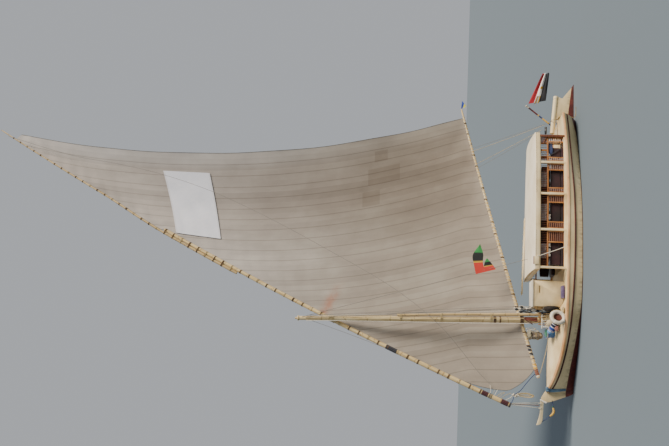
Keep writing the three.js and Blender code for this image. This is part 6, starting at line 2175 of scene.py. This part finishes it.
def sheave_block(place):
    """A wooden block: an oval shell in two cheeks, with a strop of rope round it."""
    x, y, z = place
    cheeks = [swept([(x, y + side, z + h * BLOCK_HEIGHT) for h, _ in CHEEK],
                    [w * BLOCK_WIDTH / 2 for _, w in CHEEK], 14) for side in (-0.022, 0.022)]
    strop = [(x + 0.56 * BLOCK_WIDTH * math.sin(a), y, z + 0.60 * BLOCK_HEIGHT * math.cos(a))
             for a in np.arange(20) * math.pi / 10]
    return joined(*cheeks), swept(strop, 0.010, 8, True)


BLOCKS = [(2.790, 1.075, 2.190), (2.690, 1.050, 2.360), (2.740, 1.060, 1.560), (2.600, 1.060, 2.170)]
shells, strops = zip(*(sheave_block(place) for place in BLOCKS))
piece("block_shells", joined(*shells), LAMP_BLACK, "hull", slot="lamp_black")
piece("block_strops", joined(*strops), WHITE_ROPE, "hull")
tackle = []
for top, low in ((BLOCKS[0], (2.700, 1.055, 1.420)), (BLOCKS[1], BLOCKS[0]),
                 (BLOCKS[2], (2.640, 1.050, 0.900)), (BLOCKS[3], (2.610, 1.030, 1.420))):
    tackle += [sagging(np.add(top, (0.02 * side, 0, -0.07)), np.add(low, (0.03 * side, 0, 0.06)), 0.02, 8)
               for side in (-1, 1)]
ropes_on("tackle_falls", tackle, 0.016, WHITE_TURNS, "hull")


# %% [markdown]
# Soft things hang on the boat. A folded cloth over the bow's rail keeps a rope from chafing it, a
# brown one is tied to the mast, and the bundle under the boom is a spare awning, rolled and lashed.

# %% Hanging cloths
def hanging(rows, widths, folds, depth, turn=0.0):
    """A cloth in soft folds down a line of points: it spans widths fore and aft and folds outwards."""
    grid = []
    for j, ((x, y, z), width) in enumerate(zip(rows, widths)):
        across = np.linspace(-1, 1, 37)
        fold = depth * np.cos(math.pi * folds * across + turn + j * 0.05) * (1 - 0.4 * np.abs(across))
        grid.append([(x + u * width / 2, y + out, z) for u, out in zip(across, fold)])
    return grid


bow_rows, bow_widths = [], []
for t in np.linspace(0, 1, 34):
    z = 1.040 + (0.318 - 1.040) * max(t - 0.10, 0) / 0.90
    x = 5.690 + 0.012 * math.sin(t * 5) + bow_lean(5.69, z)
    rim = side_y(hull_at(5.690), z)
    over = max(0.10 - t, 0) / 0.10
    bow_rows.append((x, rim + 0.046 - 0.13 * over, z + 0.045 * math.sin(math.pi * min(over, 0.6))))
    bow_widths.append(0.205 - 0.075 * t ** 1.5 - 0.045 * math.exp(-((t - 0.12) / 0.05) ** 2))
bow_cloth = piece("bow_cloth_folded", sheet_of(hanging(bow_rows, bow_widths, 3.0, 0.013)), FADED_BLUE, "hull",
                  ["bow_cloth"], "blue_cloth", SOFT)
cloth_sheet(bow_cloth, flat=(0.23, 0.88))
bow_knot = knot((5.700, side_y(hull_at(5.7), 0.98) + 0.075, 1.000), 0.060, 0.040, (1.5, 0, 0.3))
bow_tie = [(x, side_y(hull_at(x), 1.0) + off, z)
           for x, off, z in ((5.60, 0.03, 1.035), (5.70, 0.075, 1.02), (5.80, 0.03, 1.035))]
piece("bow_cloth_knot", joined(bow_knot, swept(bow_tie, 0.020, 8)), FADED_BLUE, "hull", slot="blue_cloth")

mast_rows, mast_widths = [], []
for t in np.linspace(0, 1, 26):
    z = 1.085 - 0.505 * t
    mast_rows.append(MAST_FRAME @ Vector((-0.035 + 0.055 * t, 0.190 + 0.014 * math.sin(math.pi * t), z)))
    mast_widths.append(0.085 + 0.085 * t ** 0.6)
mast_cloth = piece("mast_cloth_hanging", sheet_of(hanging(mast_rows, mast_widths, 2.5, 0.016, 0.8)),
                   BROWN_CLOTH, "hull", ["mast_cloth"], "brown_cloth", SOFT)
cloth_sheet(mast_cloth, flat=(0.24, 0.50))
strap = [(-0.060, 0.195, 1.100), (0.010, 0.200, 1.060), (0.075, 0.180, 0.960), (0.130, 0.150, 0.860),
         (0.170, 0.100, 0.790), (0.185, 0.030, 0.770)]
line("mast_cloth_strap", smooth_path(on_mast(strap), 0.02), 0.036, RED_WRAP, "hull", 10, "brown_cloth")

BUNDLE_TOP = on_boom(0.14)[2] - 0.040
BUNDLE = [(0.560, 0.030, 0.000), (0.560, 0.085, -0.020), (0.563, 0.125, -0.090), (0.568, 0.150, -0.210),
          (0.575, 0.168, -0.330), (0.583, 0.160, -0.450), (0.592, 0.125, -0.560), (0.598, 0.085, -0.620),
          (0.600, 0.030, -0.640)]
bundle_line = smooth_path([(x, reach, drop) for x, reach, drop in BUNDLE], 0.016)
bundle_rings = []
for k, (x, reach, drop) in enumerate(bundle_line):
    tied = 1 - 0.16 * sum(math.exp(-((drop - tie) / 0.022) ** 2) for tie in (-0.16, -0.36, -0.54))
    ring = []
    for a in np.arange(40) * 2 * math.pi / 40:
        folds = 0.10 * math.sin(5 * a + drop * 9) + 0.05 * math.sin(11 * a - drop * 21)
        r = reach * tied * (1 + folds + 0.03 * math.sin(3 * a + 40 * drop))
        ring.append((x + r * math.cos(a), RIG_OFFSET + 0.85 * r * math.sin(a), BUNDLE_TOP + drop))
    bundle_rings.append(on_rig(ring))
bundle = piece("boom_bundle_rolled", facing_out(lofted(bundle_rings, np.arange(len(bundle_rings)) * 0.016)),
               GREY_AWNING, "rig", ["boom_bundle"], "spare_canvas", SOFT)
tie_turns = []
for tie in (-0.16, -0.172, -0.36, -0.372, -0.54):
    reach = float(np.interp(-tie, [-b[2] for b in BUNDLE], [b[1] for b in BUNDLE])) * 0.93
    x = 0.57 + 0.03 * -tie / 0.64
    tie_turns.append(on_rig(ring_round((x, RIG_OFFSET, BUNDLE_TOP + tie), (reach, 0, 0),
                                       (0, 0.88 * reach, 0), 25)))
for x in (0.500, 0.560, 0.620):
    middle = np.array(on_boom((BOOM_FORE[0] - x) / (BOOM_FORE - BOOM_AFT)[0])) - (0, 0, 0.010)
    reach = boom_radius(0.14) + 0.010
    tie_turns.append(on_rig(ring_round(middle, (0, 0, reach + 0.002), (0, reach, 0), 17)))
ropes_on("bundle_ties", tie_turns, 0.018, HEMP_TURNS, "rig")
cover_grid = []
for t in np.linspace(0, 1, 22):
    a, reach = -1.9 + 3.8 * t, 0.112 + 0.060 * abs(t - 0.5) * 2
    row = []
    for u in np.linspace(-1, 1, 25):
        ripple = 0.010 * math.sin(u * 9 + a * 2)
        drop = 0.075 - 0.050 * math.cos(a * 0.8) + 0.05 * abs(a) - 0.07 * u * u * (0.3 - abs(u) * 0.6)
        row.append((0.560 + 0.165 * u, RIG_OFFSET + (reach + ripple) * math.sin(a), BUNDLE_TOP - drop))
    cover_grid.append(on_rig(row))
cover = piece("bundle_cover", sheet_of(cover_grid), OLIVE_CLOTH, "rig", slot="spare_canvas", sharp_angle=SOFT)
cloth_sheet(cover, flat=(0.36, 0.62))
piece("bundle_hanks", joined(hank(rig_point(0.430, BUNDLE_TOP - 0.02, 0.150), 0.46, 0.13, 5, 0.016, 31),
                             hank(rig_point(0.330, BUNDLE_TOP + 0.02, 0.110), 0.40, 0.11, 5, 0.016, 32)),
      WHITE_ROPE, "rig", sharp_angle=SOFT)
hang_up([("bundle_hank_dark", rig_point(0.720, BUNDLE_TOP - 0.02, 0.130), 0.42, 0.14, 6, 0.016, 33,
          GREY_LINE)], "rig")

# %% [markdown]
# The sail and the boom's pennant are sheets too, and their areas are printed. The sail's flat cut is what its
# panels would cover on a loft floor.

# %% Sail and pennant areas
cloth_sheet(sail_piece, flat=(12.9, 24.0), area=186.0)
cloth_sheet(boom_pennant, flat=(0.40, 0.16))

# %% [markdown]
# Under the eaves grey gauze is gathered behind the fore bays' bars, and small white cloths hang under
# the middle rail.

# %% Saloon cloths
def bay_cloth(name, bay, start, end, top, low, out, folds, depth, finish, slot, flat):
    """A gathered cloth inside a bay, on port and starboard."""
    grid = []
    for z in np.linspace(top, low, 8):
        loose = (top - z) / (top - low)
        row = []
        for u in np.linspace(0, 1, folds * 10 + 1):
            off = out + depth * (0.5 + 0.5 * loose) * math.sin(2 * math.pi * folds * u)
            row.append(bay.place(bay.length * (start + (end - start) * u), off,
                                 z - 0.010 * math.sin(math.pi * folds * u) * loose))
        grid.append(row)
    mesh = sheet_of(grid, 0.003)
    for side, half in (("port", mesh), ("starboard", mirrored(mesh))):
        made = piece(f"{name}_{side}", half, finish, "hull", [], slot, SOFT)
        cloth_sheet(made, flat=flat)


GAUZE_FULLNESS, CLOTH_FULLNESS = 1.3, 1.05  # how much wider the flat cloth is than the stretch that it covers
for index, start, end in ((0, 0.36, 0.74), (1, 0.28, 0.74), (2, 0.28, 0.76)):
    width = round((end - start) * bays[index].length * GAUZE_FULLNESS, 2)
    bay_cloth(f"eaves_gauze_{index}", bays[index], start, end, EAVES_Z - 0.050, RAIL_Z + 0.035,
              LOUVRE_IN - 0.045, 12, 0.014, GAUZE, "sail_cloth", (width, 0.21))
for index, start, end in ((0, 0.50, 0.70), (0, 0.36, 0.45), (1, 0.56, 0.70)):
    width = round((end - start) * bays[index].length * CLOTH_FULLNESS, 2)
    bay_cloth(f"rail_cloth_{index}_{int(start * 100)}", bays[index], start, end, RAIL_Z - 0.020,
              RAIL_Z - 0.105, LOUVRE_IN - 0.016, 3, 0.006, WHITE_CLOTH, "white_canvas", (width, 0.09))

# %% [markdown]
# Small gear: the white horn on the stem head that the ropes bear against, a coil on the deck, and
# the fine lacing that pulls the roof's canvas down.

# %% Small gear
horn = smooth_path([(6.213, 0.085, 1.042), (6.185, 0.085, 1.130), (6.140, 0.080, 1.215),
                    (6.112, 0.075, 1.285)], 0.02)
horn_radii = np.interp(np.arange(len(horn)), [0, len(horn) - 2, len(horn) - 1], (0.036, 0.032, 0.018))
piece("stem_horn", swept(horn, horn_radii, 16), WHITE_PAINT, "hull", slot="white_paint")
stem_turns = []
for n in range(2):
    stem_turns.append([(6.137 - 0.020 * n, 0.062 * math.cos(a), 0.812 + 0.012 * n + 0.004 * math.sin(a))
                       for a in np.linspace(-2.2, 2.2, 15)])
ropes_on("stem_turns", stem_turns, 0.024, GREY_TURNS, "hull")


def flat_coil(center, inner, turns, thickness):
    """Rope laid down in a flat spiral."""
    angles = np.arange(0, turns * 2 * math.pi, math.pi / 12)
    reach = inner + thickness * angles / (2 * math.pi)
    return [(center[0] + r * math.cos(a), center[1] + r * math.sin(a),
             center[2] + 0.3 * thickness * math.sin(a * 2.3)) for a, r in zip(angles, reach)]


at_coil = hull_at(2.72)
piece("deck_coil", swept(flat_coil((2.720, 1.690, deck_z(at_coil, 1.690) + 0.024), 0.045, 4.5, 0.020),
                         0.0105, 8), ROPE, "hull")
hang_up([("deck_coil_loops", (2.900, 1.700, deck_z(at_coil, 1.7) + 0.125), 0.10, 0.18, 4, 0.014, 41,
          YELLOW_WRAP)])
lacing = []
for index, start, end in ((0, 0.02, 0.98), (2, 0.05, 0.98), (3, 0.02, 0.97)):
    bay = bays[index]
    steps = int(bay.length * (end - start) / 0.055)
    lacing.append([bay.place(bay.length * (start + (end - start) * k / steps), 0.0675,
                             1.7300 - 0.030 * (k % 2)) for k in range(steps + 1)])
ropes_on("canvas_lacing", lacing, 0.006, GREY_TURNS, "hull")


# %% [markdown]
# Bags lie about the mast's foot: a tan canvas bag hangs on the deckhouse's corner, a brown one lies
# behind the life ring, and two small sacks lean on the rolled mat. A dark blue one hangs by its strap
# in the saloon's aft bay. The last hanks of rope hang beside them, and at the stern.

# %% Bags
SACK_SAG = 0.2  # how much wider a bag is below and narrower above


def sack(center, size, turned, seed):
    """A soft closed bag: wider below than above, with shallow dents."""
    cx, cy, cz = center
    rows, columns = 18, 28
    rings = []
    for j in range(1, rows):
        tilt = math.pi * j / rows
        ring = []
        for k in range(columns):
            a = 2 * math.pi * k / columns
            dent = 1 + 0.05 * math.sin(3 * a + seed + 2 * tilt) + 0.03 * math.sin(7 * a - seed * 2 + 5 * tilt)
            r = math.sin(tilt) ** 0.6 * dent * (1 - SACK_SAG * math.cos(tilt))
            x, y = size[0] / 2 * r * math.cos(a), size[1] / 2 * r * math.sin(a)
            z = size[2] / 2 * math.copysign(abs(math.cos(tilt)) ** 0.8, math.cos(tilt))
            ring.append((cx + x * math.cos(turned) - y * math.sin(turned),
                         cy + x * math.sin(turned) + y * math.cos(turned), cz + z))
        rings.append(ring)
    return facing_out(lofted(rings, np.arange(len(rings)) * 0.03))


for name, center, size, angle, finish, slot, fill in (
        ("bag_tan", (2.590, 1.130, 1.520), (0.190, 0.110, 0.330), 0.2, TAN_CANVAS, "orange_wrap", 0.4),
        ("bag_brown", (2.985, 1.700, 0.850), (0.340, 0.150, 0.340), 0.42, BROWN_CLOTH, "brown_cloth", 0.5),
        ("sack_pale", (3.180, 1.060, 1.060), (0.300, 0.200, 0.260), -0.4, PALE_CANVAS, "spare_canvas", 0.6),
        ("sack_small", (3.380, 1.330, 0.860), (0.260, 0.170, 0.150), 0.3, PINK_CLOTH, "brown_cloth", 0.6)):
    made = piece(name, sack(center, size, angle, len(name)), finish, "hull", [], slot, SOFT)
tan_strap = smooth_path([(2.530, 1.130, 1.660), (2.550, 1.100, 1.800), (2.600, 1.090, 1.900),
                         (2.640, 1.100, 1.800), (2.640, 1.130, 1.660)], 0.02)
tan_flap = [(2.500, 1.185, 1.560), (2.590, 1.192, 1.545), (2.680, 1.185, 1.560)]
piece("bag_tan_strap", joined(swept(tan_strap, 0.009, 8), swept(tan_flap, 0.008, 8)), DARK_WRAP, "hull",
      slot="lamp_black")
hang_up([("stern_hank", (-5.455, 0.520, 0.700), 0.44, 0.18, 8, 0.028, 51, OLD_ROPE)])
piece("stern_hank_tie", knot((-5.455, 0.520, 0.650), 0.06, 0.034, (0, 1.4, 0.3)), YELLOW_WRAP, "hull")
piece("eaves_box", eased_bars([block((0.690, 1.8145, 1.612), (1.000, 1.850, 1.790))], 0.008), CREAM_PLAIN,
      "hull", slot="cream_paint")
roll_line = [(x, 1.835, 1.806) for x in (0.686, 0.690, 0.750, 0.850, 0.940, 1.000, 1.004)]
roll_mesh = swept(roll_line, (0.010, 0.017, 0.019, 0.016, 0.019, 0.017, 0.010), 14)
piece("eaves_box_roll", roll_mesh, BROWN_WRAP, "hull", slot="brown_cloth")
hang_up((
    ("hank_black_low", (2.720, 1.075, 1.600), 0.60, 0.20, 8, 0.028, 61, DARK_WRAP),
    ("hank_white_low", (2.660, 1.110, 1.420), 0.46, 0.15, 6, 0.026, 62, WHITE_ROPE),
    ("hank_black_high", (2.760, 1.090, 2.150), 0.40, 0.16, 6, 0.026, 63, DARK_WRAP),
))
bag_bay = bays[3]
navy_mesh = sack(bag_bay.place(0.44 * bag_bay.length, -0.128, 1.145), (0.500, 0.105, 0.200), bag_bay.turn, 9)
navy_bag = piece("bag_navy", navy_mesh, NAVY_CLOTH, "hull", slot="cushion_cloth", sharp_angle=SOFT)
STRAP = [(0.62, -0.13, 1.16), (0.66, -0.11, 1.12), (0.62, -0.09, 1.04), (0.55, -0.088, 0.93),
         (0.48, -0.088, 0.82), (0.43, -0.10, 0.76)]
strap_route = [bag_bay.place(u * bag_bay.length, v, z) for u, v, z in STRAP]
line("bag_navy_strap", smooth_path(strap_route, 0.03), 0.030, DARK_WRAP, "hull", 8, "lamp_black")
